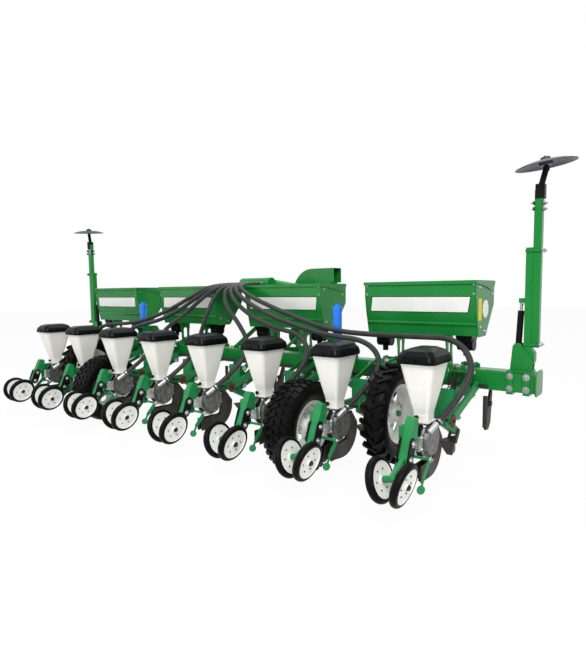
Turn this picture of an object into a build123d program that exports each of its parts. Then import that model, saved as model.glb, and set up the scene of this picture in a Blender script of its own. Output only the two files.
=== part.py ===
"""Eight-row mounted vacuum planter with fertilizer hoppers.

X runs to the right, Y forward in travel and Z up, in millimetres, with the ground at Z = 0.
Most pieces are written in the machine frame: its origin is under the toolbar's centre, at the height
of the line that the press wheels run on in work. The transport wheels hold that line LIFT off the ground.
"""
import os
from math import atan2, cos, degrees, hypot, radians, sin, tan

from build123d import *

# Driving sizes of the whole machine
ROW_COUNT = 8
ROW_PITCH = 700.0
LIFT = 160.0
BAR_SIDE = 150.0
BAR_WALL = 8.0
BAR_LENGTH = 5930.0
BAR_Z = 602.0
BAR_TOP = BAR_Z + BAR_SIDE / 2
BAR_BACK = -BAR_SIDE / 2
BAR_FRONT = BAR_SIDE / 2
BAR_UNDER = BAR_Z - BAR_SIDE / 2
GROUND = -LIFT
RUNNING = 0.05
SEAT = 0.3

# Seed hopper and its lid: width across the row, depth along it, and heights
HOPPER_Y = -826.0
HOPPER_TOP = 836.0
HOPPER_KNEE = 640.0
HOPPER_NECK_TOP = 478.0
HOPPER_FOOT = 430.0
HOPPER_WIDTH = 236.0
HOPPER_DEPTH = 322.0
KNEE_WIDTH = 168.0
KNEE_DEPTH = 218.0
NECK_WIDTH = 100.0
NECK_DEPTH = 116.0
HOPPER_WALL = 5.0
LID_WALL = 5.0
LID_PLAY = 11.0
LID_SKIRT = 21.0
LID_CROWN = 76.0
LID_HINGE_Y = HOPPER_Y + HOPPER_DEPTH / 2 + LID_PLAY + 17
LID_HINGE_Z = HOPPER_TOP - LID_SKIRT - 12
LID_PIN_R = 5.0

# Seed meter, opener and press wheels of one row
METER_Y = -812.0
METER_Z = 298.0
METER_R = 138.0
METER_LEFT = -38.0
METER_RIGHT = 62.0
BEAM_LEFT = -78.0
BEAM_HEIGHTS = (338.0, 418.0)
PRESS_Y = -1287.0
PRESS_R = 143.0
PRESS_WIDTH = 50.0
PRESS_CANT = 15.0
PRESS_X = 78.0
PRESS_Z = PRESS_R * cos(radians(PRESS_CANT)) + PRESS_WIDTH / 2 * sin(radians(PRESS_CANT))
PRESS_AXLE_R = 12.0
LINK_FRONT_Y = -125.0
LINK_REAR_Y = -430.0
LINK_DROP = 110.0
LINK_HEIGHTS = (655.0, 485.0)
CROSS_SHAFT_Y = -108.0
CROSS_SHAFT_Z = 560.0
SPROCKET_Y = -640.0
SPROCKET_Z = 398.0

# Carrying wheels: place across the machine, axle, radius, width and rim radius
TRANSPORT = {"x": 1400.0, "y": -770.0, "radius": 372.0, "width": 270.0, "rim": 207.0}
TRANSPORT_Z = GROUND + TRANSPORT["radius"]
DRIVE = {"x": 2100.0, "y": -560.0, "radius": 368.0, "width": 176.0, "rim": 216.0}
DRIVE_Z = 372.0
LUG_PAIRS = 23
LUG_HEIGHT = 19.0
WHEEL_AXLE_R = 22.0
RIM_INSET = 36.0
RIM_WINDOWS = 5
CYLINDER_Y = -250.0

# Fertilizer hoppers
BIN_X = [-2100.0, -700.0, 700.0, 2100.0]
BIN_LENGTH = 936.0
BIN_SHEET = 5.0
BIN_TOP = 1350.0
BIN_BACK = -170.0
BIN_FRONT = 255.0
BIN_FLOOR = 930.0
BIN_HINGE_Y = BIN_FRONT + 16
BIN_HINGE_Z = BIN_TOP - 14
METER_SPREAD = 350.0

# Row markers: pivot, cylinder base pin and cylinder eye, in X outward from the centre and Z
MARKER_PIVOT = (2906.0, 766.0)
MARKER_BASE_PIN = (2826.0, 866.0)
MARKER_EYE = (2842.0, 1200.0)
MARKER_PIVOT_R = 12.0
MARKER_PIN_R = 10.0
MARKER_TOP = 1980.0
MARKER_DISC_R = 200.0
MARKER_DISC_Z = 2176.0
MARKER_DISC_X = 2972.0
MARKER_DISC_TILT = 6.0
MARKER_DISC_TURN = 6.0
LUG_IN = 33.5
LUG_OUT = 45.0

# Hitch, category II
HITCH_Y = 690.0
HITCH_Z = 500.0
HITCH_SPAN = 825.0
HITCH_PIN_R = 14.25
HITCH_PIN_LENGTH = 90.0
MAST_TOP = 1110.0
MAST_Y = 600.0
MAST_BORE_R = 12.75
MAST_GAP = 52.0
MAST_PLATE = 16.0

# Fan and vacuum hoses
FAN_X = 470.0
FAN_Y = 740.0
FAN_Z = 1275.0
FAN_R = 262.0
FAN_DEPTH = 150.0
FAN_SHEET = 5.0
OUTLET = 160.0
OUTLET_REACH = 292.0
GUARD_DEPTH = 60.0
STUB_X = 120.0
STUB_R = 17.5
STUB_REACH = 150.0
MANIFOLD_Y = 270.0
MANIFOLD_Z = 1370.0
MANIFOLD_R = 70.0
MANIFOLD_LENGTH = 430.0
HOSE_R = 22.0
SPIGOT_PITCH = 46.0

# The bar's place in front of the origin, which lies midway between the rearmost and foremost points
REAR_REACH = PRESS_R - PRESS_Y
FRONT_REACH = FAN_Y + FAN_DEPTH / 2 + STUB_REACH
BAR_Y = (REAR_REACH - FRONT_REACH) / 2

ROW_X = [(row - (ROW_COUNT - 1) / 2) * ROW_PITCH for row in range(ROW_COUNT)]
SIDES = {"left": -1, "right": 1}
MACHINE = (0, BAR_Y, LIFT)
AT_ROWS = [(x, BAR_Y, LIFT) for x in ROW_X]


def plate(corners, x, thickness, rounding=0.0):
    """A flat plate in the Y-Z plane whose left face is at x."""
    with BuildPart() as piece:
        with BuildSketch(Plane.YZ.offset(x)):
            with BuildLine():
                Polyline(*corners, close=True)
            make_face()
            if rounding:
                fillet(vertices(), rounding)
        extrude(amount=thickness)
    return piece.part


def link(start, end, height, x, thickness):
    """A flat link in the Y-Z plane with round ends about two pins."""
    run = (end[0] - start[0], end[1] - start[1])
    with BuildPart() as piece:
        with BuildSketch(Plane.YZ.offset(x)):
            with Locations(((start[0] + end[0]) / 2, (start[1] + end[1]) / 2)):
                SlotCenterToCenter(hypot(*run), height, rotation=degrees(atan2(run[1], run[0])))
        extrude(amount=thickness)
    return piece.part


def rod(start, end, radius):
    """A round rod between two points."""
    run = Vector(*end) - Vector(*start)
    with BuildPart() as piece:
        with BuildSketch(Plane(origin=start, z_dir=run)):
            Circle(radius)
        extrude(amount=run.length)
    return piece.part


def block(low, high):
    """A square-edged block between two opposite corners."""
    size = [b - a for a, b in zip(low, high)]
    with BuildPart() as piece:
        with Locations(tuple((a + b) / 2 for a, b in zip(low, high))):
            Box(*size)
    return piece.part


# Toolbar
with BuildPart() as toolbar:
    with BuildSketch(Plane.YZ.offset(-BAR_LENGTH / 2)):
        with Locations((BAR_Y, BAR_Z + LIFT)):
            RectangleRounded(BAR_SIDE, BAR_SIDE, 14)
            RectangleRounded(BAR_SIDE - 2 * BAR_WALL, BAR_SIDE - 2 * BAR_WALL, 6, mode=Mode.SUBTRACT)
    extrude(amount=BAR_LENGTH)


# Brackets on the bar: end plates, marker bases and parking stands
END_PLATE = (200.0, 180.0, 12.0)
CLAMP_WALL = 14.0
CLAMP_WIDTH = 45.0
CLAMP_X = (2792.0, 2906.0)
STAND_X = 760.0
STAND_SIDE = 60.0


def end_plate():
    with BuildPart() as piece:
        with BuildSketch(Plane.YZ.offset(BAR_LENGTH / 2)):
            with Locations((0, BAR_Z)):
                Rectangle(END_PLATE[0], END_PLATE[1])
            chamfer(vertices(), 22)
        extrude(amount=END_PLATE[2])
    return piece.part


def marker_base():
    """Two clamps round the bar, a seat on its top and two lugs that carry the arm and its cylinder."""
    pin_x, pin_z = MARKER_BASE_PIN
    pivot_x, pivot_z = MARKER_PIVOT
    lug = [(CLAMP_X[0] - 12, BAR_TOP), (pin_x - 30, pin_z), (pin_x - 12, pin_z + 26), (pin_x + 16, pin_z + 24),
           (pivot_x + 18, pivot_z + 26), (pivot_x + 30, pivot_z), (CLAMP_X[1] + 20, BAR_TOP)]
    with BuildPart() as piece:
        for x in CLAMP_X:
            with BuildSketch(Plane.YZ.offset(x - CLAMP_WIDTH / 2)):
                with Locations((0, BAR_Z)):
                    Rectangle(BAR_SIDE + 2 * CLAMP_WALL, BAR_SIDE + 2 * CLAMP_WALL)
                    Rectangle(BAR_SIDE, BAR_SIDE, mode=Mode.SUBTRACT)
            extrude(amount=CLAMP_WIDTH)
        add(block((CLAMP_X[0], -80, BAR_TOP), (CLAMP_X[1], 80, BAR_TOP + CLAMP_WALL)))
        for front in (-LUG_OUT, LUG_IN):
            with BuildSketch(Plane.XZ.offset(-front)):
                with BuildLine():
                    Polyline(*lug, close=True)
                make_face()
                fillet(vertices().sort_by(Axis.Y)[2:], 10)
            extrude(amount=-(LUG_OUT - LUG_IN))
        for (x, z), radius in ((MARKER_PIVOT, MARKER_PIVOT_R), (MARKER_BASE_PIN, MARKER_PIN_R)):
            add(rod((x, -LUG_OUT, z), (x, LUG_OUT, z), radius))
    return piece.part


def parking_stand():
    """A square leg with a foot, held to the front of the bar by its sleeve."""
    middle = BAR_FRONT + STAND_SIDE / 2 + 10
    with BuildPart() as piece:
        with BuildSketch(Plane.XY.offset(GROUND)):
            with Locations((STAND_X, middle)):
                RectangleRounded(170, 150, 20)
        extrude(amount=10)
        with BuildSketch(Plane.XY.offset(GROUND)):
            with Locations((STAND_X, middle)):
                RectangleRounded(STAND_SIDE, STAND_SIDE, 6)
        extrude(amount=BAR_TOP + 60 - GROUND)
        add(block((STAND_X - 42, BAR_FRONT, BAR_UNDER + 10), (STAND_X + 42, middle + 42, BAR_TOP - 10)))
    return piece.part


with BuildPart() as bar_brackets:
    for make in (end_plate, marker_base, parking_stand):
        right_hand = make()
        with Locations(MACHINE):
            add(right_hand)
            add(mirror(right_hand, about=Plane.YZ, mode=Mode.PRIVATE))


# Three-point headstock
LINK_CHEEK = 20.0
CHEEK_X = HITCH_SPAN / 2 - LINK_CHEEK
RAIL_SIDE = 90.0
RAIL_X = 100.0
CROSS_Y = HITCH_Y - 130

with BuildPart() as headstock:
    with Locations(MACHINE):
        for side in SIDES.values():
            low, high = sorted((side * (RAIL_X - RAIL_SIDE / 2), side * (RAIL_X + RAIL_SIDE / 2)))
            add(block((low, BAR_FRONT, BAR_Z - RAIL_SIDE / 2), (high, CROSS_Y, BAR_Z + RAIL_SIDE / 2)))
            cheek = [(BAR_FRONT + 160, BAR_Z + 60), (BAR_FRONT + 160, BAR_Z - 60), (HITCH_Y, HITCH_Z - 50),
                     (HITCH_Y + 50, HITCH_Z), (HITCH_Y, HITCH_Z + 60)]
            left_face = side * CHEEK_X if side > 0 else side * CHEEK_X - LINK_CHEEK
            add(plate(cheek, left_face, LINK_CHEEK, 14))
            pin_root = side * HITCH_SPAN / 2
            pin_end = pin_root + side * HITCH_PIN_LENGTH
            add(rod((pin_root, HITCH_Y, HITCH_Z), (pin_end, HITCH_Y, HITCH_Z), HITCH_PIN_R))
            mast = [(CROSS_Y - 40, BAR_Z + 40), (CROSS_Y + 40, BAR_Z + 40), (MAST_Y + 34, MAST_TOP),
                    (MAST_Y + 20, MAST_TOP + 34), (MAST_Y - 34, MAST_TOP + 20)]
            mast_face = side * MAST_GAP / 2 if side > 0 else side * MAST_GAP / 2 - MAST_PLATE
            add(plate(mast, mast_face, MAST_PLATE, 12))
            foot_x = side * (MAST_GAP / 2 + MAST_PLATE / 2)
            add(rod((foot_x + side * 90, 30, BAR_TOP - 2), (foot_x, MAST_Y - 20, MAST_TOP - 60), 24))
        add(block((-CHEEK_X, CROSS_Y - 45, BAR_Z - 45), (CHEEK_X, CROSS_Y + 45, BAR_Z + 45)))
        with Locations((0, MAST_Y, MAST_TOP)):
            Cylinder(MAST_BORE_R, 400, rotation=(0, 90, 0), mode=Mode.SUBTRACT)
        with Locations((0, 0, BAR_Z)):
            Box(HITCH_SPAN, BAR_SIDE, BAR_SIDE, mode=Mode.SUBTRACT)


# Row unit: clamp on the bar and parallel links
CHEEK_IN = 60.0
CHEEK_THICK = 12.0
LINK_THICK = 9.0
LINK_HEIGHT = 38.0


def unit_link():
    """A clamp plate on each face of the bar, its through bolts, the pivot cheeks and four flat links."""
    rear_face = BAR_BACK - 12
    with BuildPart() as piece:
        add(block((-75, rear_face, LINK_HEIGHTS[1] - 25), (75, BAR_BACK, LINK_HEIGHTS[0] + 40)))
        add(block((-75, BAR_FRONT, BAR_UNDER - 24), (75, BAR_FRONT + 12, BAR_TOP + 24)))
        for x in (-45, 45):
            for z in (BAR_UNDER - 9, BAR_TOP + 9):
                add(rod((x, rear_face - 14, z), (x, BAR_FRONT + 28, z), 8))
        for side in SIDES.values():
            cheek = [(rear_face, LINK_HEIGHTS[0] + 35), (LINK_FRONT_Y - 25, LINK_HEIGHTS[0] + 20),
                     (LINK_FRONT_Y - 25, LINK_HEIGHTS[1] - 20), (rear_face, LINK_HEIGHTS[1] - 25)]
            left_face = side * CHEEK_IN if side > 0 else -CHEEK_IN - CHEEK_THICK
            add(plate(cheek, left_face, CHEEK_THICK))
            link_face = side * (CHEEK_IN + CHEEK_THICK) if side > 0 else -CHEEK_IN - CHEEK_THICK - LINK_THICK
            for z in LINK_HEIGHTS:
                add(link((LINK_FRONT_Y, z), (LINK_REAR_Y, z - LINK_DROP), LINK_HEIGHT, link_face, LINK_THICK))
        for z in LINK_HEIGHTS:
            reach = CHEEK_IN + CHEEK_THICK + LINK_THICK + 10
            add(rod((-reach, LINK_FRONT_Y, z), (reach, LINK_FRONT_Y, z), 11))
            for side in SIDES.values():
                inner = side * (CHEEK_IN + CHEEK_THICK)
                add(rod((inner, LINK_REAR_Y, z - LINK_DROP), (side * reach, LINK_REAR_Y, z - LINK_DROP), 11))
        with Locations((0, CROSS_SHAFT_Y, CROSS_SHAFT_Z)):
            Cylinder(18, 400, rotation=(0, 90, 0), mode=Mode.SUBTRACT)
    return piece.part


with BuildPart() as unit_links:
    one_link = unit_link()
    with Locations(AT_ROWS):
        add(one_link)


# Row unit: frame with its press arm, wheel axles, coverers and the front arm
ARM_TOP = (-1012.0, 452.0)
ARM_FOOT = (-1108.0, 240.0)
COVERER_PIVOT = (-962.0, 214.0)
COVERER_KNEE = (-1052.0, 122.0)
COVERER_TIP = (-1086.0, 66.0)
COVERER_X = 100.0
PADDLE_R = 28.0
PADDLE_TOE = 32.0


def press_axle(side):
    """Where one press wheel's axle starts and ends, and the way it points."""
    cant = radians(PRESS_CANT)
    way = Vector(side * cos(cant), 0, -sin(cant))
    centre = Vector(side * PRESS_X, PRESS_Y, PRESS_Z)
    return centre - way * (PRESS_X / cos(cant)), centre + way * (PRESS_WIDTH / 2 + 10), way


def unit_frame():
    low, high = BEAM_HEIGHTS
    rear_pivots = [z - LINK_DROP for z in LINK_HEIGHTS]
    front_y = LINK_REAR_Y - 25
    with BuildPart() as piece:
        # front upright with the cheeks that the links hold
        add(block((-CHEEK_IN, front_y - 14, rear_pivots[1] - 40), (CHEEK_IN, front_y, rear_pivots[0] + 35)))
        for side in SIDES.values():
            left_face = side * (CHEEK_IN - SEAT) if side > 0 else -CHEEK_IN - CHEEK_THICK + SEAT
            cheek = [(front_y - 14, rear_pivots[0] + 35), (LINK_REAR_Y + 24, rear_pivots[0] + 20),
                     (LINK_REAR_Y + 24, rear_pivots[1] - 22), (front_y - 14, rear_pivots[1] - 40)]
            add(plate(cheek, left_face, CHEEK_THICK))
        # side beam back to the press arm
        add(block((BEAM_LEFT, -1030, low), (METER_LEFT, front_y, high)))
        add(block((BEAM_LEFT, -1040, low), (30, -985, high)))
        add(link(ARM_TOP, ARM_FOOT, 66, -30, 60))
        add(link(ARM_FOOT, (PRESS_Y, PRESS_Z + 20), 44, -13, 26))
        for side in SIDES.values():
            start, end, way = press_axle(side)
            add(rod(start, end, PRESS_AXLE_R))
            collar_end = start + way * (PRESS_X / cos(radians(PRESS_CANT)) - PRESS_WIDTH / 2 - 3)
            add(rod(start, collar_end, PRESS_AXLE_R + 9))
        # coverers hung behind the opener
        add(plate([(-990, low + 5), (-936, low + 5), (COVERER_PIVOT[0] + 22, COVERER_PIVOT[1] - 18),
                   (COVERER_PIVOT[0] - 22, COVERER_PIVOT[1] - 18)], -66, 14))
        add(rod((-COVERER_X - 4, *COVERER_PIVOT), (COVERER_X + 4, *COVERER_PIVOT), 10))
        for side in SIDES.values():
            add(link(COVERER_PIVOT, COVERER_KNEE, 34, side * COVERER_X - 4, 8))
            add(link(COVERER_KNEE, COVERER_TIP, 16, side * COVERER_X - 4, 8))
            toe = radians(PADDLE_TOE)
            face = Vector(side * cos(toe), -sin(toe), 0)
            middle = Vector(side * COVERER_X, COVERER_TIP[0] - 6, COVERER_TIP[1] - 8)
            add(rod(tuple(middle - face * 4), tuple(middle + face * 4), PADDLE_R))
        # arm to the clod plough in front
        add(link((front_y - 8, 330), (-250, 222), 58, -22, 44))
    return piece.part


with BuildPart() as unit_frames:
    one_frame = unit_frame()
    with Locations(AT_ROWS):
        add(one_frame)


# Seed meters: a round cast housing on the beam, with a ribbed cover, a seed chute and the hose spigot
SPIGOT_AT = Vector(METER_RIGHT + 16, METER_Y - 52, METER_Z + 92)
SPIGOT_WAY = Vector(0.30, 0.78, 0.55).normalized()
SPIGOT_LENGTH = 46.0
COVER_RIBS = 8


def seed_meter():
    with BuildPart() as piece:
        with BuildSketch(Plane.YZ.offset(METER_LEFT)):
            with Locations((METER_Y, METER_Z)):
                Circle(METER_R - 14)
        extrude(amount=METER_RIGHT - 22 - METER_LEFT)
        with BuildSketch(Plane.YZ.offset(-4)):
            with Locations((METER_Y, METER_Z)):
                Circle(METER_R)
        extrude(amount=30)
        with BuildSketch(Plane.YZ.offset(METER_RIGHT - 22)):
            with Locations((METER_Y, METER_Z)):
                Circle(METER_R - 30)
        extrude(amount=22, taper=18)
        with BuildSketch(Plane.YZ.offset(METER_RIGHT - 24)):
            with Locations((METER_Y, METER_Z)):
                with PolarLocations(METER_R - 42, COVER_RIBS):
                    Rectangle(44, 7)
        extrude(amount=16)
        # seat of the hopper neck and the throat below it
        add(block((-NECK_WIDTH / 2 - 8, HOPPER_Y - NECK_DEPTH / 2 - 8, HOPPER_FOOT - 10),
                  (NECK_WIDTH / 2 + 8, HOPPER_Y + NECK_DEPTH / 2 + 8, HOPPER_FOOT - SEAT)))
        add(block((METER_LEFT, HOPPER_Y - 40, METER_Z + 60), (30, HOPPER_Y + 40, HOPPER_FOOT - SEAT)))
        # square inspection cover on the rear
        add(block((-24, METER_Y - METER_R - 22, METER_Z - 46), (34, METER_Y - 60, METER_Z + 52)))
        spigot_root = SPIGOT_AT - SPIGOT_WAY * 40
        add(rod(tuple(spigot_root), tuple(SPIGOT_AT + SPIGOT_WAY * SPIGOT_LENGTH), HOSE_R - 3))
        add(rod((20, METER_Y - 60, METER_Z + 66), tuple(spigot_root + SPIGOT_WAY * 12), 20))
    return piece.part


with BuildPart() as seed_meters:
    one_meter = seed_meter()
    with Locations(AT_ROWS):
        add(one_meter)


# Seed hoppers, each a thin moulded funnel with ears for its lid's hinge pin
EAR_X = 32.0


def funnel(inset):
    """The hopper's shape from its neck up, drawn in by an inset for the inside."""
    sections = [{"width": NECK_WIDTH, "depth": NECK_DEPTH, "height": HOPPER_FOOT, "corner": 12},
                {"width": NECK_WIDTH, "depth": NECK_DEPTH, "height": HOPPER_NECK_TOP, "corner": 12},
                {"width": KNEE_WIDTH, "depth": KNEE_DEPTH, "height": HOPPER_KNEE, "corner": 34},
                {"width": HOPPER_WIDTH, "depth": HOPPER_DEPTH, "height": HOPPER_TOP, "corner": 44}]
    with BuildPart() as piece:
        for pair in zip(sections, sections[1:]):
            for section in pair:
                with BuildSketch(Plane.XY.offset(section["height"])):
                    with Locations((0, HOPPER_Y)):
                        RectangleRounded(section["width"] - 2 * inset, section["depth"] - 2 * inset,
                                         section["corner"] - inset)
            loft(ruled=True)
    return piece.part


def seed_hopper():
    lean = (HOPPER_DEPTH - KNEE_DEPTH) / 2 / (HOPPER_TOP - HOPPER_KNEE)
    root_z = LID_HINGE_Z - 30
    root = HOPPER_Y + HOPPER_DEPTH / 2 - HOPPER_WALL - lean * (HOPPER_TOP - root_z)
    with BuildPart() as piece:
        add(funnel(0))
        for side in SIDES.values():
            ear = [(root, root_z), (LID_HINGE_Y - 6, LID_HINGE_Z - 12), (LID_HINGE_Y + 9, LID_HINGE_Z),
                   (LID_HINGE_Y, LID_HINGE_Z + 9), (root, LID_HINGE_Z + 6)]
            add(plate(ear, side * EAR_X - 3, 6))
        add(rod((-EAR_X - 6, LID_HINGE_Y, LID_HINGE_Z), (EAR_X + 6, LID_HINGE_Y, LID_HINGE_Z), LID_PIN_R))
        add(funnel(HOPPER_WALL), mode=Mode.SUBTRACT)
    return piece.part


with BuildPart() as seed_hoppers:
    one_hopper = seed_hopper()
    with Locations(AT_ROWS):
        add(one_hopper)


# Seed hopper lids, crowned and hollow, with a knuckle on the hinge pin
LID_OUTSIDE = [{"less": 4, "rise": -LID_SKIRT, "corner": 50}, {"less": 0, "rise": 0, "corner": 52},
               {"less": 16, "rise": LID_CROWN - 46, "corner": 50}, {"less": 72, "rise": LID_CROWN - 16, "corner": 44},
               {"less": 150, "rise": LID_CROWN, "corner": 30}]
LID_INSIDE = [{"less": 48, "rise": 0, "corner": 34}, {"less": 60, "rise": LID_CROWN - 48, "corner": 32},
              {"less": 140, "rise": LID_CROWN - 14, "corner": 22}]


def crown(sections):
    """A lofted crown over the hopper, from sections that are each less than the lid's full size."""
    grown = 2 * (LID_PLAY + LID_WALL)
    with BuildPart() as piece:
        for pair in zip(sections, sections[1:]):
            for section in pair:
                width = HOPPER_WIDTH + grown - section["less"]
                depth = HOPPER_DEPTH + grown - section["less"]
                with BuildSketch(Plane.XY.offset(HOPPER_TOP + section["rise"])):
                    with Locations((0, HOPPER_Y)):
                        RectangleRounded(width, depth, section["corner"])
            loft(ruled=True)
    return piece.part


def seed_lid():
    play = 2 * LID_PLAY
    inner = (HOPPER_WIDTH + play, HOPPER_DEPTH + play)
    outer = (inner[0] + 2 * LID_WALL, inner[1] + 2 * LID_WALL)
    with BuildPart() as piece:
        add(crown(LID_OUTSIDE))
        with BuildSketch(Plane.XY.offset(HOPPER_TOP - LID_SKIRT)):
            with Locations((0, HOPPER_Y)):
                RectangleRounded(inner[0], inner[1], 48)
        extrude(amount=LID_SKIRT + SEAT, mode=Mode.SUBTRACT)
        add(crown(LID_INSIDE), mode=Mode.SUBTRACT)
        knuckle = EAR_X - 5
        skirt = HOPPER_Y + outer[1] / 2
        tab = [(skirt - LID_WALL / 2, HOPPER_TOP + 4), (skirt - LID_WALL / 2, HOPPER_TOP - LID_SKIRT),
               (LID_HINGE_Y - 9, LID_HINGE_Z), (LID_HINGE_Y + 9, LID_HINGE_Z), (skirt + 6, HOPPER_TOP + 4)]
        add(plate(tab, -knuckle, 2 * knuckle))
        add(rod((-knuckle, LID_HINGE_Y, LID_HINGE_Z), (knuckle, LID_HINGE_Y, LID_HINGE_Z), 9))
        with Locations((0, LID_HINGE_Y, LID_HINGE_Z)):
            Cylinder(LID_PIN_R + RUNNING, 200, rotation=(0, 90, 0), mode=Mode.SUBTRACT)
        # catch on the rear of the skirt
        rear = HOPPER_Y - outer[1] / 2
        add(block((-18, rear - 6, HOPPER_TOP - 12), (18, rear + LID_WALL, HOPPER_TOP + 10)))
    return piece.part


one_lid = seed_lid()
seed_lids = {}
for row, place in enumerate(AT_ROWS, start=1):
    with BuildPart() as lid:
        with Locations(place):
            add(one_lid)
    seed_lids[f"seed_lid_{row}"] = lid


# Ground tools: runner opener, clod plough and fertilizer opener of each row
RUNNER_R = 205.0
RUNNER_CENTRE = (-722.0, 215.0)
RUNNER_REAR = (-930.0, 120.0)
KEEL = 16.0
CHEEK_SPLAY = 24.0


def runner_opener():
    """A keel with a round cutting front, and two cheeks that spread behind it round the seed chute."""
    y, z = RUNNER_CENTRE
    with BuildPart() as piece:
        with BuildSketch(Plane.YZ.offset(-KEEL / 2)):
            with BuildLine():
                tip = (y + RUNNER_R, z + 30)
                foot = (y - 40, z - RUNNER_R)
                CenterArc(RUNNER_CENTRE, RUNNER_R, -90, 90)
                Line((y + RUNNER_R, z), tip)
                Line((y, z - RUNNER_R), foot)
                Line(foot, (y - 168, z - RUNNER_R + 16))
                Line((y - 168, z - RUNNER_R + 16), (y - 168, z - 120))
                Line((y - 168, z - 120), (y + 40, z - 62))
                Line((y + 40, z - 62), (y + 70, z + 135))
                Line((y + 70, z + 135), (y + 120, z + 135))
                Line((y + 120, z + 135), tip)
            make_face()
        extrude(amount=KEEL)
        add(block((METER_LEFT, y + 72, z + 35), (KEEL / 2, y + 118, z + 128)))
        for side in SIDES.values():
            with BuildSketch(Plane.XY.offset(z - RUNNER_R + 22)):
                with BuildLine():
                    Polyline((side * KEEL / 2, y + 60), (side * (KEEL / 2 + 5), y + 60),
                             (side * (CHEEK_SPLAY + 5), y - 80), (side * (CHEEK_SPLAY + 5), RUNNER_REAR[0]),
                             (side * CHEEK_SPLAY, RUNNER_REAR[0]), (side * CHEEK_SPLAY, y - 80),
                             (side * (KEEL / 2 - 2), y + 50), close=True)
                make_face()
            extrude(amount=110)
    return piece.part


def clod_plough():
    """A small blunt plough below the unit's front arm."""
    with BuildPart() as piece:
        for height, width, back in ((60, 40, -352), (184, 130, -430)):
            with BuildSketch(Plane.XY.offset(height)):
                with BuildLine():
                    Polyline((0, -228), (width / 2, back), (-width / 2, back), close=True)
                make_face()
        loft(ruled=True)
        add(link((-250, 222), (-300, 160), 40, -34, 12 - SEAT))
        add(link((-250, 222), (-300, 160), 40, 22 + SEAT, 12 - SEAT))
    return piece.part


def fertilizer_opener():
    """A leg on the bar's front face, with a narrow shoe and its drop tube."""
    x = 150.0
    with BuildPart() as piece:
        leg = [(BAR_FRONT, BAR_UNDER + 60), (BAR_FRONT, BAR_UNDER - 20), (30, 420), (-40, 300), (-40, 205),
               (20, 200), (70, 250), (BAR_FRONT + 30, BAR_UNDER - 40), (BAR_FRONT + 30, BAR_UNDER + 60)]
        add(plate(leg, x, 18))
        add(block((x - 30, BAR_FRONT, BAR_UNDER + 8), (x + 48, BAR_FRONT + 14, BAR_TOP - 8)))
        add(rod((x + 9, -46, 470), (x + 9, -46, 225), 17))
        add(rod((x - 16, 34, 400), (x + 34, 34, 400), 20))
    return piece.part


with BuildPart() as soil_openers:
    for make in (runner_opener, clod_plough, fertilizer_opener):
        one_tool = make()
        with Locations(AT_ROWS):
            add(one_tool)


# Drive: hexagon cross shaft behind the bar, and the chain guard and sprocket of each row
GUARD_X = 104.0
GUARD_THICK = 22.0
GUARD_HEIGHT = 60.0
SHAFT_REACH = 2640.0
HEX_R = 14.0


def row_drive():
    """A closed chain guard between the cross shaft and the unit's countershaft, with its open sprocket."""
    cross_shaft = (CROSS_SHAFT_Y, CROSS_SHAFT_Z)
    sprocket = (SPROCKET_Y, SPROCKET_Z)
    with BuildPart() as piece:
        add(link(cross_shaft, sprocket, GUARD_HEIGHT, GUARD_X, GUARD_THICK))
        with BuildSketch(Plane.YZ.offset(GUARD_X + GUARD_THICK)):
            with Locations(sprocket):
                Circle(40)
                with PolarLocations(40, 16):
                    Rectangle(10, 7)
        extrude(amount=8)
        add(rod((METER_LEFT, *sprocket), (GUARD_X + GUARD_THICK + 18, *sprocket), 11))
        with Locations((GUARD_X, *cross_shaft)):
            Cylinder(HEX_R + SEAT, 4 * GUARD_THICK, rotation=(0, 90, 0), mode=Mode.SUBTRACT)
    return piece.part


with BuildPart() as drive_shafts:
    one_drive = row_drive()
    with Locations(AT_ROWS):
        add(one_drive)
    with BuildSketch(Plane.YZ.offset(-SHAFT_REACH)):
        with Locations((BAR_Y + CROSS_SHAFT_Y, LIFT + CROSS_SHAFT_Z)):
            RegularPolygon(HEX_R, 6)
    extrude(amount=2 * SHAFT_REACH)


# Press wheels: rubber band on a pressed disc, bored for the axle
def press_wheel(side):
    way = press_axle(side)[2]
    centre = Vector(side * PRESS_X, PRESS_Y, PRESS_Z)
    half = PRESS_WIDTH / 2
    with BuildPart() as piece:
        # drawn with the radius forward in Y and the outer face along the axle's way
        with BuildSketch(Plane(origin=centre, x_dir=(0, 1, 0), z_dir=Vector(0, 1, 0).cross(way))):
            with BuildLine():
                Polyline((PRESS_AXLE_R + RUNNING, half + 4), (24, half + 4), (26, half - 12), (104, half - 8),
                         (112, half), (128, half))
                ThreePointArc((128, half), (PRESS_R - 3, half - 11), (PRESS_R, 0))
                ThreePointArc((PRESS_R, 0), (PRESS_R - 3, -half + 11), (128, -half))
                Polyline((128, -half), (112, -half), (104, -half + 8), (26, -half + 12), (24, -half + 1),
                         (PRESS_AXLE_R + RUNNING, -half + 1), (PRESS_AXLE_R + RUNNING, half + 4))
            make_face()
        revolve(axis=Axis(tuple(centre), tuple(way)))
    return piece.part


press_wheels = {}
for side_name, side in SIDES.items():
    one_wheel = press_wheel(side)
    for row, place in enumerate(AT_ROWS, start=1):
        with BuildPart() as wheel:
            with Locations(place):
                add(one_wheel)
        press_wheels[f"press_wheel_{row}_{side_name}"] = wheel


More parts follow.
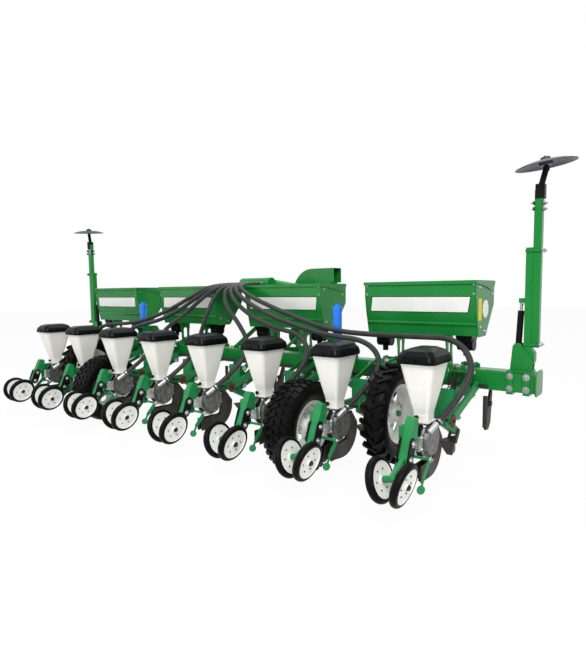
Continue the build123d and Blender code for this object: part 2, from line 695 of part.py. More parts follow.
# Carrying wheels: tyre and dished rim, turned about an X axis
def tyre(wheel, tread_half):
    """A tyre section turned about X at the origin."""
    half = wheel["width"] / 2
    radius = wheel["radius"]
    rim = wheel["rim"]
    lip = half - RIM_INSET
    with BuildPart() as piece:
        with BuildSketch(Plane.XY):
            with BuildLine():
                Line((5 - lip, rim - 13 + SEAT), (lip - 5, rim - 13 + SEAT))
                Line((lip - 5, rim - 13 + SEAT), (lip + 4, rim + 8))
                ThreePointArc((lip + 4, rim + 8), (half, (rim + radius) / 2), (tread_half, radius - 14))
                ThreePointArc((tread_half, radius - 14), (0, radius), (-tread_half, radius - 14))
                ThreePointArc((-tread_half, radius - 14), (-half, (rim + radius) / 2), (-lip - 4, rim + 8))
                Line((-lip - 4, rim + 8), (5 - lip, rim - 13 + SEAT))
            make_face()
        revolve(axis=Axis.X)
    return piece.part


def lugged_tyre(wheel):
    """The drive tyre: a lower carcass with bar lugs that meet in a chevron."""
    carcass = dict(wheel, radius=wheel["radius"] - LUG_HEIGHT + 4)
    half = wheel["width"] / 2
    with BuildPart() as piece:
        add(tyre(carcass, half - 26))
        for side in SIDES.values():
            with BuildSketch(Plane.XY.offset(wheel["radius"] - LUG_HEIGHT - 18)):
                with BuildLine():
                    shoulder = side * (half - 4)
                    Polyline((-side * 6, -34), (shoulder, 22), (shoulder, 46), (-side * 6, -10), close=True)
                make_face()
            one_lug = extrude(amount=LUG_HEIGHT + 18, mode=Mode.PRIVATE)
            for turn in range(LUG_PAIRS):
                angle = (turn + (0.5 if side > 0 else 0)) * 360 / LUG_PAIRS
                add(one_lug.rotate(Axis.X, angle))
    return piece.part


def rim(wheel):
    """A dished rim with its well, a disc with round windows, the hub and the axle bore."""
    edge = wheel["rim"]
    lip = wheel["width"] / 2 - RIM_INSET
    bore = WHEEL_AXLE_R + RUNNING
    with BuildPart() as piece:
        with BuildSketch(Plane.XY):
            with BuildLine():
                Polyline((lip, edge - 18), (lip + 10, edge + 4), (lip + 5, edge + 7), (lip - 4, edge - 13),
                         (-lip + 4, edge - 13), (-lip - 5, edge + 7), (-lip - 10, edge + 4),
                         (-lip, edge - 18),
                         (lip - 72, edge - 24), (lip - 64, 62), (-lip + 20, 58), (-lip + 20, bore),
                         (lip - 20, bore), (lip - 20, 54), (lip - 52, 66), (lip - 58, edge - 26), close=True)
            make_face()
        revolve(axis=Axis.X)
        disc_width = edge - 26 - 66
        with BuildSketch(Plane.YZ.offset(lip - 80)):
            with PolarLocations(66 + disc_width / 2, RIM_WINDOWS):
                Circle(0.36 * disc_width)
        extrude(amount=60, mode=Mode.SUBTRACT)
    return piece.part


carrying_wheels = {}
for side_name, side in SIDES.items():
    for kind, wheel, height in (("transport", TRANSPORT, TRANSPORT_Z), ("drive", DRIVE, DRIVE_Z)):
        place = (side * wheel["x"], BAR_Y + wheel["y"], LIFT + height)
        shape = tyre(wheel, wheel["width"] / 2 - 22) if kind == "transport" else lugged_tyre(wheel)
        dish = rim(wheel)
        with BuildPart() as tyre_part:
            with Locations(Location(place, (0, 0, 0 if side > 0 else 180))):
                add(shape)
        with BuildPart() as rim_part:
            with Locations(Location(place, (0, 0, 0 if side > 0 else 180))):
                add(dish)
        carrying_wheels[f"{kind}_tyre_{side_name}"] = tyre_part
        carrying_wheels[f"{kind}_rim_{side_name}"] = rim_part


# Arms of the carrying wheels, with the seats of the lift cylinders
LIFT_PIVOT = (-138.0, 468.0)
LIFT_EYE = (CYLINDER_Y, 612.0)
CYLINDER_SEAT = 885.0
CYLINDER_R = 40.0
CYLINDER_TOP = 1150.0
LIFT_PIN_R = 12.0


def transport_arm():
    """Cylinder seat and pivot on the bar, and the arm with its lever and axle, beside the wheel."""
    x = TRANSPORT["x"]
    arm_x = x - TRANSPORT["width"] / 2 - 60
    with BuildPart() as piece:
        add(block((x - 90, BAR_BACK - 16, LIFT_PIVOT[1] - 40), (x + 90, BAR_BACK, BAR_TOP + 60)))
        gusset = [(BAR_BACK - 8, BAR_TOP - 60), (BAR_BACK - 8, BAR_TOP), (BAR_BACK + 60, BAR_TOP),
                  (BAR_BACK + 60, BAR_TOP + 60), (BAR_BACK - 30, CYLINDER_SEAT),
                  (CYLINDER_Y - 62, CYLINDER_SEAT), (CYLINDER_Y - 62, CYLINDER_SEAT - 22)]
        for left_face in (x - 72, x + 60):
            add(plate(gusset, left_face, 12))
        with BuildSketch(Plane.XY.offset(CYLINDER_SEAT - 20)):
            with Locations((x, (BAR_BACK - 30 + CYLINDER_Y - 62) / 2)):
                Rectangle(144, BAR_BACK - 30 - CYLINDER_Y + 62)
            with Locations((x, CYLINDER_Y)):
                Circle(24, mode=Mode.SUBTRACT)
        extrude(amount=20)
        for left_face in (x - 90, x + 74):
            add(link((BAR_BACK - 10, LIFT_PIVOT[1]), LIFT_PIVOT, 90, left_face, 16))
        add(rod((arm_x, *LIFT_PIVOT), (x + 100, *LIFT_PIVOT), 32))
        add(link(LIFT_PIVOT, (TRANSPORT["y"], TRANSPORT_Z), 92, arm_x, 34))
        add(rod((arm_x, TRANSPORT["y"], TRANSPORT_Z), (x + 80, TRANSPORT["y"], TRANSPORT_Z), WHEEL_AXLE_R))
        add(rod((arm_x - 6, TRANSPORT["y"], TRANSPORT_Z), (x - 84, TRANSPORT["y"], TRANSPORT_Z), 48))
        for left_face in (x - 30, x + 16):
            add(link(LIFT_PIVOT, LIFT_EYE, 62, left_face, 14))
        add(rod((x - 36, *LIFT_EYE), (x + 36, *LIFT_EYE), LIFT_PIN_R))
    return piece.part


def drive_arm():
    """A closed chain arm from the back of the bar to the lugged wheel's axle."""
    x = DRIVE["x"] - DRIVE["width"] / 2 - 56
    pivot = (BAR_BACK - 74, BAR_Z - 10)
    with BuildPart() as piece:
        add(block((x - 24, BAR_BACK - 14, BAR_UNDER - 20), (x + 60, BAR_BACK, BAR_TOP + 20)))
        add(block((x - 20, pivot[0] - 40, pivot[1] - 48), (x - 4, BAR_BACK - 10, pivot[1] + 48)))
        add(rod((x - 20, *pivot), (x + 40, *pivot), 26))
        add(link(pivot, (DRIVE["y"], DRIVE_Z), 108, x, 34))
        add(rod((x, DRIVE["y"], DRIVE_Z), (DRIVE["x"] + 52, DRIVE["y"], DRIVE_Z), WHEEL_AXLE_R))
        with Locations((0, CROSS_SHAFT_Y, CROSS_SHAFT_Z)):
            Cylinder(18, 3 * DRIVE["x"], rotation=(0, 90, 0), mode=Mode.SUBTRACT)
    return piece.part


with BuildPart() as wheel_arms:
    for make in (transport_arm, drive_arm):
        right_hand = make()
        with Locations(MACHINE):
            add(right_hand)
            add(mirror(right_hand, about=Plane.YZ, mode=Mode.PRIVATE))


def lift_cylinder():
    """Barrel standing on its seat, with the rod and its eye hanging through it, and the oil port on top."""
    with BuildPart() as piece:
        with BuildSketch(Plane.XZ):
            with BuildLine():
                Polyline((0, CYLINDER_SEAT), (56, CYLINDER_SEAT), (56, CYLINDER_SEAT + 18),
                         (CYLINDER_R, CYLINDER_SEAT + 22), (CYLINDER_R, CYLINDER_TOP - 30),
                         (CYLINDER_R + 5, CYLINDER_TOP - 28), (CYLINDER_R + 5, CYLINDER_TOP),
                         (18, CYLINDER_TOP + 4), (18, CYLINDER_TOP + 24), (0, CYLINDER_TOP + 24), close=True)
            make_face()
        revolve(axis=Axis.Z)
        add(rod((0, 0, LIFT_EYE[1] + 24), (0, 0, CYLINDER_SEAT), 16))
        add(rod((-15, 0, LIFT_EYE[1]), (15, 0, LIFT_EYE[1]), 27))
        with Locations((0, 0, LIFT_EYE[1])):
            Cylinder(LIFT_PIN_R + SEAT, 80, rotation=(0, 90, 0), mode=Mode.SUBTRACT)
    return piece.part


with BuildPart() as lift_cylinders:
    one_cylinder = lift_cylinder()
    with Locations(*[(side * TRANSPORT["x"], BAR_Y + CYLINDER_Y, LIFT) for side in SIDES.values()]):
        add(one_cylinder)


# Fertilizer hoppers: folded sheet, open on top, with flanged ends and hinge ears in front
BIN_PROFILE = [(BIN_BACK, BIN_TOP), (BIN_BACK, 1236), (BIN_BACK + 22, 1108), (-104, BIN_FLOOR),
               (62, BIN_FLOOR), (BIN_FRONT, 1170), (BIN_FRONT, BIN_TOP)]
BIN_FLANGE = 6.0
BIN_EAR_X = 330.0
BIN_PIN_R = 6.0


def bin_slab(grow, x, length):
    """The hopper's side profile, grown outward by a margin, as a slab from x."""
    with BuildPart() as piece:
        with BuildSketch(Plane.YZ.offset(x)):
            with BuildLine():
                Polyline(*BIN_PROFILE, close=True)
            make_face()
            offset(amount=grow, kind=Kind.INTERSECTION, mode=Mode.REPLACE)
        extrude(amount=length)
    return piece.part


def fertilizer_hopper():
    half = BIN_LENGTH / 2
    with BuildPart() as piece:
        with BuildSketch(Plane.YZ.offset(-half)):
            with BuildLine():
                Polyline(*BIN_PROFILE, close=True)
            make_face()
        extrude(amount=BIN_LENGTH)
        for x in (-half, half - BIN_SHEET):
            add(bin_slab(BIN_FLANGE, x, BIN_SHEET))
        above_mouth = block((-BIN_LENGTH, BIN_BACK - 50, BIN_TOP), (BIN_LENGTH, BIN_FRONT + 50, BIN_TOP + 50))
        add(above_mouth, mode=Mode.SUBTRACT)
        for side in SIDES.values():
            ear = [(BIN_FRONT - 2, BIN_HINGE_Z - 40), (BIN_HINGE_Y + 9, BIN_HINGE_Z - 8),
                   (BIN_HINGE_Y + 9, BIN_HINGE_Z + 8), (BIN_FRONT - 2, BIN_HINGE_Z + 8)]
            for edge in (-34, 28):
                add(plate(ear, side * BIN_EAR_X + edge, 6))
            add(rod((side * BIN_EAR_X - 36, BIN_HINGE_Y, BIN_HINGE_Z),
                    (side * BIN_EAR_X + 36, BIN_HINGE_Y, BIN_HINGE_Z), BIN_PIN_R))
        add(bin_slab(-BIN_SHEET, -half + BIN_SHEET, BIN_LENGTH - 2 * BIN_SHEET), mode=Mode.SUBTRACT)
        add(block((-half + BIN_SHEET, BIN_BACK + BIN_SHEET, BIN_TOP - 2 * BIN_SHEET),
                  (half - BIN_SHEET, BIN_FRONT - BIN_SHEET, BIN_TOP + 10)), mode=Mode.SUBTRACT)
    return piece.part


AT_BINS = [(x, BAR_Y, LIFT) for x in BIN_X]
with BuildPart() as fertilizer_hoppers:
    one_bin = fertilizer_hopper()
    with Locations(AT_BINS):
        add(one_bin)


# Fertilizer hopper lids: a low cover with a rear hem, curved end skirts and two hinge knuckles
LID_SHEET = 4.0
LID_CLEAR = 5.0


def fertilizer_lid():
    half = BIN_LENGTH / 2 + LID_CLEAR + LID_SHEET
    back = BIN_BACK - BIN_FLANGE - LID_CLEAR
    under = BIN_TOP + SEAT
    top = under + LID_SHEET
    with BuildPart() as piece:
        add(block((-half, back - LID_SHEET, under), (half, BIN_FRONT + 2, top)))
        add(block((-half, back - LID_SHEET, under - 22), (half, back, top)))
        for left_face in (-half, half - LID_SHEET):
            with BuildSketch(Plane.YZ.offset(left_face)):
                with BuildLine():
                    front = BIN_FRONT + 2
                    Line((back - LID_SHEET, top), (front, top))
                    Line((front, top), (front, top - 20))
                    ThreePointArc((front, top - 20), (BIN_FRONT - 40, top - 62), (BIN_FRONT - 110, top - 70))
                    ThreePointArc((BIN_FRONT - 110, top - 70), (0, top - 44), (back - LID_SHEET, top - 26))
                    Line((back - LID_SHEET, top - 26), (back - LID_SHEET, top))
                make_face()
            extrude(amount=LID_SHEET)
        for side in SIDES.values():
            x = side * BIN_EAR_X
            tab = [(BIN_FRONT - 30, top), (BIN_FRONT - 30, under), (BIN_HINGE_Y - 9, under),
                   (BIN_HINGE_Y - 9, BIN_HINGE_Z), (BIN_HINGE_Y + 9, BIN_HINGE_Z), (BIN_HINGE_Y + 9, under - 6),
                   (BIN_HINGE_Y, top)]
            add(plate(tab, x - 26, 52))
            add(rod((x - 26, BIN_HINGE_Y, BIN_HINGE_Z), (x + 26, BIN_HINGE_Y, BIN_HINGE_Z), 10))
            with Locations((x, BIN_HINGE_Y, BIN_HINGE_Z)):
                Cylinder(BIN_PIN_R + RUNNING, 90, rotation=(0, 90, 0), mode=Mode.SUBTRACT)
    return piece.part


one_bin_lid = fertilizer_lid()
fertilizer_lids = {}
for number, place in enumerate(AT_BINS, start=1):
    with BuildPart() as lid:
        with Locations(place):
            add(one_bin_lid)
    fertilizer_lids[f"fertilizer_lid_{number}"] = lid


# Stands of the fertilizer hoppers on the bar
STAND_SPREAD = 210.0


def hopper_stand():
    """A folded trestle plate with a foot on the bar and a seat under the hopper."""
    with BuildPart() as piece:
        legs = [(-62, BAR_TOP), (62, BAR_TOP), (40, 800), (56, BIN_FLOOR), (-96, BIN_FLOOR), (-70, 800)]
        add(plate(legs, -6, 12))
        with BuildSketch(Plane.YZ.offset(-6)):
            with Locations((-14, 812)):
                SlotOverall(120, 56, rotation=90)
        extrude(amount=12, mode=Mode.SUBTRACT)
        add(block((-45, -62, BAR_TOP), (45, 62, BAR_TOP + 10)))
        add(block((-40, -96, BIN_FLOOR - 8), (40, 56, BIN_FLOOR)))
    return piece.part


with BuildPart() as hopper_stands:
    one_stand = hopper_stand()
    with Locations(*[(x + side * STAND_SPREAD, BAR_Y, LIFT) for x in BIN_X for side in SIDES.values()]):
        add(one_stand)


# Fertilizer meters under the hopper floor, two to a hopper
def fertilizer_meter():
    with BuildPart() as piece:
        for height, width, depth in ((BIN_FLOOR, 130, 140), (BIN_FLOOR - 60, 110, 110)):
            with BuildSketch(Plane.XY.offset(height)):
                with Locations((0, -22)):
                    Rectangle(width, depth)
        loft(ruled=True)
        add(rod((-62, -22, BIN_FLOOR - 72), (62, -22, BIN_FLOOR - 72), 48))
        add(rod((0, -22, BIN_FLOOR - 100), (0, -22, BIN_FLOOR - 160), 24))
    return piece.part


with BuildPart() as fertilizer_meters:
    one_dispenser = fertilizer_meter()
    with Locations(*[(x + side * METER_SPREAD, BAR_Y, LIFT) for x in BIN_X for side in SIDES.values()]):
        add(one_dispenser)


# Fan: volute with its outlet, suction duct to the manifold, belt guard and drive stub
DUCT_R = 58.0
SPIGOT_OUT = 46.0
HOSE_START_Y = MANIFOLD_Y - MANIFOLD_R - SPIGOT_OUT
DUCT_ROUTE = [(FAN_X, FAN_Y - FAN_DEPTH / 2 + 4, FAN_Z), (FAN_X, 450, FAN_Z + 30), (0, 430, MANIFOLD_Z + 10),
              (0, MANIFOLD_Y, MANIFOLD_Z)]


def spigot_x(row):
    return (row - (ROW_COUNT - 1) / 2) * SPIGOT_PITCH


def volute(inset, reach):
    """The fan casing's outline, drawn in by an inset, with its outlet run out to a reach."""
    with BuildPart() as piece:
        with BuildSketch(Plane.XZ.offset(-(FAN_Y + FAN_DEPTH / 2 - inset))):
            with Locations((FAN_X, FAN_Z)):
                Circle(FAN_R - inset)
            with Locations((FAN_X + reach / 2, FAN_Z + FAN_R - OUTLET / 2)):
                Rectangle(reach, OUTLET - 2 * inset)
        extrude(amount=FAN_DEPTH - 2 * inset)
    return piece.part


def fan():
    guard_y = FAN_Y + FAN_DEPTH / 2
    stub = (STUB_X, BAR_Z + 150)
    with BuildPart() as piece:
        add(volute(0, OUTLET_REACH))
        with BuildLine() as duct:
            FilletPolyline(*DUCT_ROUTE, radius=130)
        with BuildSketch(Plane(origin=duct.line @ 0, z_dir=duct.line % 0)):
            Circle(DUCT_R)
        sweep()
        add(volute(FAN_SHEET, OUTLET_REACH + 20), mode=Mode.SUBTRACT)
        drum = (MANIFOLD_Y, MANIFOLD_Z)
        add(rod((-MANIFOLD_LENGTH / 2, *drum), (MANIFOLD_LENGTH / 2, *drum), MANIFOLD_R))
        for row in range(ROW_COUNT):
            add(rod((spigot_x(row), *drum), (spigot_x(row), HOSE_START_Y, MANIFOLD_Z), HOSE_R - 3))
        # belt guard, from the drive stub up to the fan
        run = (FAN_X - stub[0], FAN_Z - stub[1])
        with BuildSketch(Plane.XZ.offset(-(guard_y + GUARD_DEPTH))):
            with Locations((stub[0] + run[0] / 2, stub[1] + run[1] / 2)):
                SlotCenterToCenter(hypot(*run), 220, rotation=degrees(atan2(run[1], run[0])))
        extrude(amount=GUARD_DEPTH)
        add(rod((stub[0], guard_y + 50, stub[1]), (stub[0], guard_y + STUB_REACH, stub[1]), STUB_R))
        # feet on the headstock's cross member
        add(plate([(CROSS_Y - 40, BAR_Z + 45), (CROSS_Y + 40, BAR_Z + 45), (FAN_Y + 60, FAN_Z - 150),
                   (FAN_Y - 60, FAN_Z - 150)], CHEEK_X - 60, 14))
        add(plate([(CROSS_Y - 40, BAR_Z + 45), (CROSS_Y + 40, BAR_Z + 45), (guard_y + 50, BAR_Z + 200),
                   (guard_y + 6, BAR_Z + 200)], 180, 14))
    return piece.part


with BuildPart() as fan_housing:
    fan_piece = fan()
    with Locations(MACHINE):
        add(fan_piece)


# Vacuum hoses, limp spiral tube: the points of each between its manifold spigot and its meter
HOSE_MIDDLES = [
    [(-400, -312, 1255), (-700, -322, 1130), (-1030, -330, 1020), (-1380, -345, 940), (-1740, -345, 905),
     (-2060, -380, 890), (-2236, -475, 740)],
    [(-320, -345, 1230), (-580, -365, 1090), (-880, -378, 985), (-1180, -395, 920), (-1440, -410, 865),
     (-1558, -490, 715)],
    [(-230, -372, 1210), (-450, -405, 1040), (-690, -420, 930), (-842, -480, 765)],
    [(-50, -385, 1180), (-90, -460, 960), (-135, -505, 760)],
    [(130, -385, 1180), (380, -430, 985), (560, -460, 770)],
    [(235, -365, 1210), (530, -392, 1040), (850, -405, 945), (1110, -410, 910), (1262, -470, 760)],
    [(315, -345, 1235), (640, -358, 1090), (1000, -368, 985), (1400, -395, 905), (1770, -400, 890),
     (1958, -470, 740)],
    [(390, -312, 1255), (740, -318, 1130), (1080, -326, 1025), (1420, -345, 945), (1800, -348, 930),
     (2180, -342, 930), (2490, -350, 935), (2662, -460, 765)],
]
HOSE_LEAD = 380.0
HOSE_DROP = 250.0


def hose_route(row):
    """Control points of one hose, from its spigot on the manifold to its spigot on the meter."""
    mouth = SPIGOT_AT + SPIGOT_WAY * SPIGOT_LENGTH
    lead = mouth + SPIGOT_WAY * HOSE_DROP
    x = spigot_x(row)
    start = [(x, HOSE_START_Y, MANIFOLD_Z), (x, HOSE_START_Y - HOSE_LEAD, MANIFOLD_Z)]
    end = [(ROW_X[row] + point.X, point.Y, point.Z) for point in (lead, mouth)]
    return start + HOSE_MIDDLES[row] + end


def corner_radii(points):
    """Radius at each inner point: what 0.45 of the shorter run beside it allows."""
    radii = []
    for before, here, after in zip(points, points[1:], points[2:]):
        run_in = Vector(*here) - Vector(*before)
        run_out = Vector(*after) - Vector(*here)
        turn = radians(run_in.get_angle(run_out))
        radii.append(0.45 * min(run_in.length, run_out.length) / tan(turn / 2))
    return radii


with BuildPart() as vacuum_hoses:
    for row in range(ROW_COUNT):
        points = hose_route(row)
        radii = corner_radii(points)
        with BuildLine() as path:
            FilletPolyline(*points, radius=radii)
        with BuildSketch(Plane(origin=path.line @ 0, z_dir=path.line % 0)):
            Circle(HOSE_R)
        hose = sweep(path=path.line, mode=Mode.PRIVATE)
        length = sum(edge.length for edge in path.edges())
        print(f"hose {row + 1}: length {length:.0f} mm, radii {min(radii):.0f} to {max(radii):.0f} mm")
        with Locations(MACHINE):
            add(hose)


# Row markers, folded upright: arm, disc and lift cylinder
ARM_X = (2868.0, 2914.0)
ARM_BASE_X = 2940.0
ARM_HALF = 32.0
ARM_STEP = 862.0
ARM_SPLICE = 1580.0
EXTENSION_X = (2915.0, 2967.0)
EAR_LEFT = MARKER_EYE[0] - 18
DISC_WAY = Vector(-tan(radians(MARKER_DISC_TILT)), -tan(radians(MARKER_DISC_TURN)), 1).normalized()
DISC_HUB = Vector(MARKER_DISC_X, 0, MARKER_DISC_Z)
SPINDLE_R = 11.0


def marker_arm():
    """Lower arm on the pivot, extension clamped to its side, spindle head and the ear for the cylinder."""
    x, z = MARKER_PIVOT
    with BuildPart() as piece:
        with BuildSketch(Plane.XZ.offset(-ARM_HALF)):
            with BuildLine():
                base = x - ARM_X[0]
                Line((ARM_X[0], z), (ARM_X[0], ARM_SPLICE))
                Line((ARM_X[0], ARM_SPLICE), (ARM_X[1], ARM_SPLICE))
                Line((ARM_X[1], ARM_SPLICE), (ARM_X[1], ARM_STEP))
                Line((ARM_X[1], ARM_STEP), (x + base, ARM_STEP - 40))
                Line((x + base, ARM_STEP - 40), (x + base, z))
                ThreePointArc((x + base, z), (x, z - base), (ARM_X[0], z))
            make_face()
        extrude(amount=2 * ARM_HALF)
        add(block((EXTENSION_X[0] - 1, -26, ARM_STEP), (EXTENSION_X[1], 26, MARKER_TOP)))
        for height in (ARM_STEP + 22, ARM_SPLICE - 22):
            clamp = ARM_HALF + 8
            add(block((ARM_X[0] - 3, -clamp, height - 9), (EXTENSION_X[1] + 8, clamp, height + 9)))
        # ear beside the cylinder's tongue
        add(block((EAR_LEFT, -16, MARKER_EYE[1] - 14), (ARM_X[0] + 2, -1.5, MARKER_EYE[1] + 18)))
        # spindle head
        add(block((EXTENSION_X[0] + 2, -30, MARKER_TOP - 60), (EXTENSION_X[1] + 10, 30, MARKER_TOP + 40)))
        neck = DISC_HUB - DISC_WAY * 50
        add(rod(((EXTENSION_X[0] + EXTENSION_X[1]) / 2, 0, MARKER_TOP), tuple(neck), 20))
        add(rod(tuple(neck - DISC_WAY * 20), tuple(DISC_HUB - DISC_WAY * 34), 20))
        add(rod(tuple(neck), tuple(DISC_HUB + DISC_WAY * 34), SPINDLE_R))
        with Locations((x, 0, z)):
            Cylinder(MARKER_PIVOT_R + RUNNING, 4 * ARM_HALF, rotation=(90, 0, 0), mode=Mode.SUBTRACT)
    return piece.part


def marker_disc():
    """A dished steel disc with its hub, turned about the spindle."""
    with BuildPart() as piece:
        across = Vector(0, 1, 0).cross(DISC_WAY).normalized()
        with BuildSketch(Plane(origin=DISC_HUB, x_dir=across, z_dir=across.cross(DISC_WAY))):
            with BuildLine():
                bore = SPINDLE_R + RUNNING
                Polyline((MARKER_DISC_R, -26), (MARKER_DISC_R, -31))
                ThreePointArc((MARKER_DISC_R, -31), (110, -6), (48, 0))
                Polyline((48, 0), (42, -30), (bore, -30), (bore, 26), (30, 26), (36, 8), (52, 5))
                ThreePointArc((52, 5), (112, -1), (MARKER_DISC_R, -26))
            make_face()
        revolve(axis=Axis(tuple(DISC_HUB), tuple(DISC_WAY)))
    return piece.part


CYLINDER_RUN = Vector(MARKER_EYE[0] - MARKER_BASE_PIN[0], 0, MARKER_EYE[1] - MARKER_BASE_PIN[1])
CYLINDER_WAY = CYLINDER_RUN.normalized()
BARREL_LENGTH = 0.78 * CYLINDER_RUN.length


def marker_barrel():
    base = Vector(MARKER_BASE_PIN[0], 0, MARKER_BASE_PIN[1])
    with BuildPart() as piece:
        add(rod(tuple(base + CYLINDER_WAY * 10), tuple(base + CYLINDER_WAY * BARREL_LENGTH), 22))
        add(rod((base.X, -18, base.Z), (base.X, 18, base.Z), 20))
        with Locations(tuple(base)):
            Cylinder(MARKER_PIN_R + RUNNING, 80, rotation=(90, 0, 0), mode=Mode.SUBTRACT)
        bore_end = base + CYLINDER_WAY * (BARREL_LENGTH + 5)
        add(rod(tuple(base + CYLINDER_WAY * 26), tuple(bore_end), 10 + SEAT), mode=Mode.SUBTRACT)
    return piece.part


def marker_rod():
    base = Vector(MARKER_BASE_PIN[0], 0, MARKER_BASE_PIN[1])
    eye = Vector(MARKER_EYE[0], 0, MARKER_EYE[1])
    with BuildPart() as piece:
        add(rod(tuple(base + CYLINDER_WAY * 30), tuple(eye - CYLINDER_WAY * 26), 10))
        tongue = eye - CYLINDER_WAY * 22
        lean = degrees(atan2(CYLINDER_WAY.Z, CYLINDER_WAY.X))
        with BuildSketch(Plane.XZ.offset(-SEAT)):
            with Locations(((tongue.X + eye.X) / 2, (tongue.Z + eye.Z) / 2)):
                SlotCenterToCenter((eye - tongue).length, 30, rotation=lean)
        extrude(amount=-12)
        add(rod((eye.X, 11, eye.Z), (eye.X, 20, eye.Z), 10))
    return piece.part


markers = {}
for piece_name, make in (("marker_arm", marker_arm), ("marker_disc", marker_disc),
                         ("marker_barrel", marker_barrel), ("marker_rod", marker_rod)):
    right_hand = make()
    for side_name, side in SIDES.items():
        shape = right_hand if side > 0 else mirror(right_hand, about=Plane.YZ, mode=Mode.PRIVATE)
        with BuildPart() as marker_piece:
            with Locations(MACHINE):
                add(shape)
        markers[f"{piece_name}_{side_name}"] = marker_piece


# Export
NODES = {"toolbar": toolbar, "bar_brackets": bar_brackets, "headstock": headstock, "unit_links": unit_links,
         "unit_frames": unit_frames, "seed_meters": seed_meters, "seed_hoppers": seed_hoppers,
         "soil_openers": soil_openers, "drive_shafts": drive_shafts, "wheel_arms": wheel_arms,
         "lift_cylinders": lift_cylinders, "fertilizer_hoppers": fertilizer_hoppers,
         "hopper_stands": hopper_stands, "fertilizer_meters": fertilizer_meters, "fan_housing": fan_housing,
         "vacuum_hoses": vacuum_hoses,
         **seed_lids, **fertilizer_lids, **press_wheels, **carrying_wheels, **markers}
os.makedirs("parts", exist_ok=True)
for node, built in NODES.items():
    built.part.label = node
    export_step(built.part, f"parts/{node}.step")
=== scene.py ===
"""Looks of the row crop planter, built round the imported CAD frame. Metres, +Y forward, +Z up."""
from math import cos, pi, radians, sin

import bmesh
import bpy
from mathutils import Matrix, Vector


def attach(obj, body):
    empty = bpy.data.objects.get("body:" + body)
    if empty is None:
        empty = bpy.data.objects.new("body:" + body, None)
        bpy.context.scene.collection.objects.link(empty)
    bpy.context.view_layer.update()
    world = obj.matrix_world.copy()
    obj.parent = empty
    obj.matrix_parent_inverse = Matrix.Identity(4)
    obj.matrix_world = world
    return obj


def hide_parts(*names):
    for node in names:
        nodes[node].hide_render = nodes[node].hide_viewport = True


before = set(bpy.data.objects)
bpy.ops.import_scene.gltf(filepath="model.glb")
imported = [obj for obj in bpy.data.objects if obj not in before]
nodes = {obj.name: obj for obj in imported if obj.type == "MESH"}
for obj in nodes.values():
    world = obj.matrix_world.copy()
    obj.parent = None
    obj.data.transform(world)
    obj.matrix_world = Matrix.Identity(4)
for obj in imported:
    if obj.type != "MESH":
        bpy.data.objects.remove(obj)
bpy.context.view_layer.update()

# Places shared with the CAD source. The machine's own frame has Y = 0 under the toolbar, and BAR_Y and LIFT
# move it into the part's frame.
BAR_Y = 0.2325
LIFT = 0.160
ROWS = 8
ROW_PITCH = 0.700
MIDDLE_ROW = (ROWS - 1) / 2
ROW_X = [(row - MIDDLE_ROW) * ROW_PITCH for row in range(ROWS)]
BIN_X = (-2.1, -0.7, 0.7, 2.1)
SIDES = {"left": -1, "right": 1}


def machine(x, y, z):
    """A point of the machine's own frame, in the part's frame."""
    return Vector((x, y + BAR_Y, z + LIFT))


# Materials
NOISE_ROUGHNESS = 0.6
COAT_ROUGHNESS = 0.12
BUMP_HEIGHT = 0.002
CLOUD_SPAN = (0.35, 0.7)
DRIFT_SPAN = (0.3, 0.7)
DRIFT_SCALE = 6
GRAIN_DETAIL = 3.0
# Sockets of a mix node for colours: the two that go in, and the one that comes out
MIX_FIRST = 6
MIX_LAST = 7
MIX_RESULT = 2


def noise(tree, scale, detail=4.0):
    """A noise texture in object space."""
    texture = tree.nodes.new("ShaderNodeTexNoise")
    texture.inputs["Scale"].default_value = scale
    texture.inputs["Detail"].default_value = detail
    texture.inputs["Roughness"].default_value = NOISE_ROUGHNESS
    place = tree.nodes.new("ShaderNodeTexCoord")
    tree.links.new(place.outputs["Object"], texture.inputs["Vector"])
    return texture.outputs["Fac"]


def ramp(tree, value, span, first, last):
    """A value within a span, turned into a grey from first to last."""
    node = tree.nodes.new("ShaderNodeValToRGB")
    for element, place, shade in zip(node.color_ramp.elements, span, (first, last)):
        element.position = place
        element.color = (shade, shade, shade, 1.0)
    tree.links.new(value, node.inputs["Fac"])
    return node.outputs["Color"]


def mixed(tree, factor, first, last):
    """Two colours mixed by a factor."""
    node = tree.nodes.new("ShaderNodeMix")
    node.data_type = "RGBA"
    tree.links.new(factor, node.inputs["Factor"])
    node.inputs[MIX_FIRST].default_value = first
    node.inputs[MIX_LAST].default_value = last
    return node.outputs[MIX_RESULT]


def surface(name, colour, second, clouds, rough, metallic=0.0, coat=0.0, grain=300.0, bump=0.08, gloss=0.5):
    """Two shades in soft clouds, a roughness that drifts, and a fine grain as bump."""
    made = bpy.data.materials.new(name)
    made.use_nodes = True
    tree = made.node_tree
    shader = tree.nodes["Principled BSDF"]
    shader.inputs["Metallic"].default_value = metallic
    shader.inputs["Specular IOR Level"].default_value = gloss
    shader.inputs["Coat Weight"].default_value = coat
    shader.inputs["Coat Roughness"].default_value = COAT_ROUGHNESS
    share = ramp(tree, noise(tree, clouds), CLOUD_SPAN, 0, 1)
    shade = mixed(tree, share, (*colour, 1), (*second, 1))
    tree.links.new(shade, shader.inputs["Base Color"])
    drift = ramp(tree, noise(tree, clouds * DRIFT_SCALE), DRIFT_SPAN, *rough)
    tree.links.new(drift, shader.inputs["Roughness"])
    raised = tree.nodes.new("ShaderNodeBump")
    raised.inputs["Strength"].default_value = bump
    raised.inputs["Distance"].default_value = BUMP_HEIGHT
    tree.links.new(noise(tree, grain, GRAIN_DETAIL), raised.inputs["Height"])
    tree.links.new(raised.outputs["Normal"], shader.inputs["Normal"])
    return made


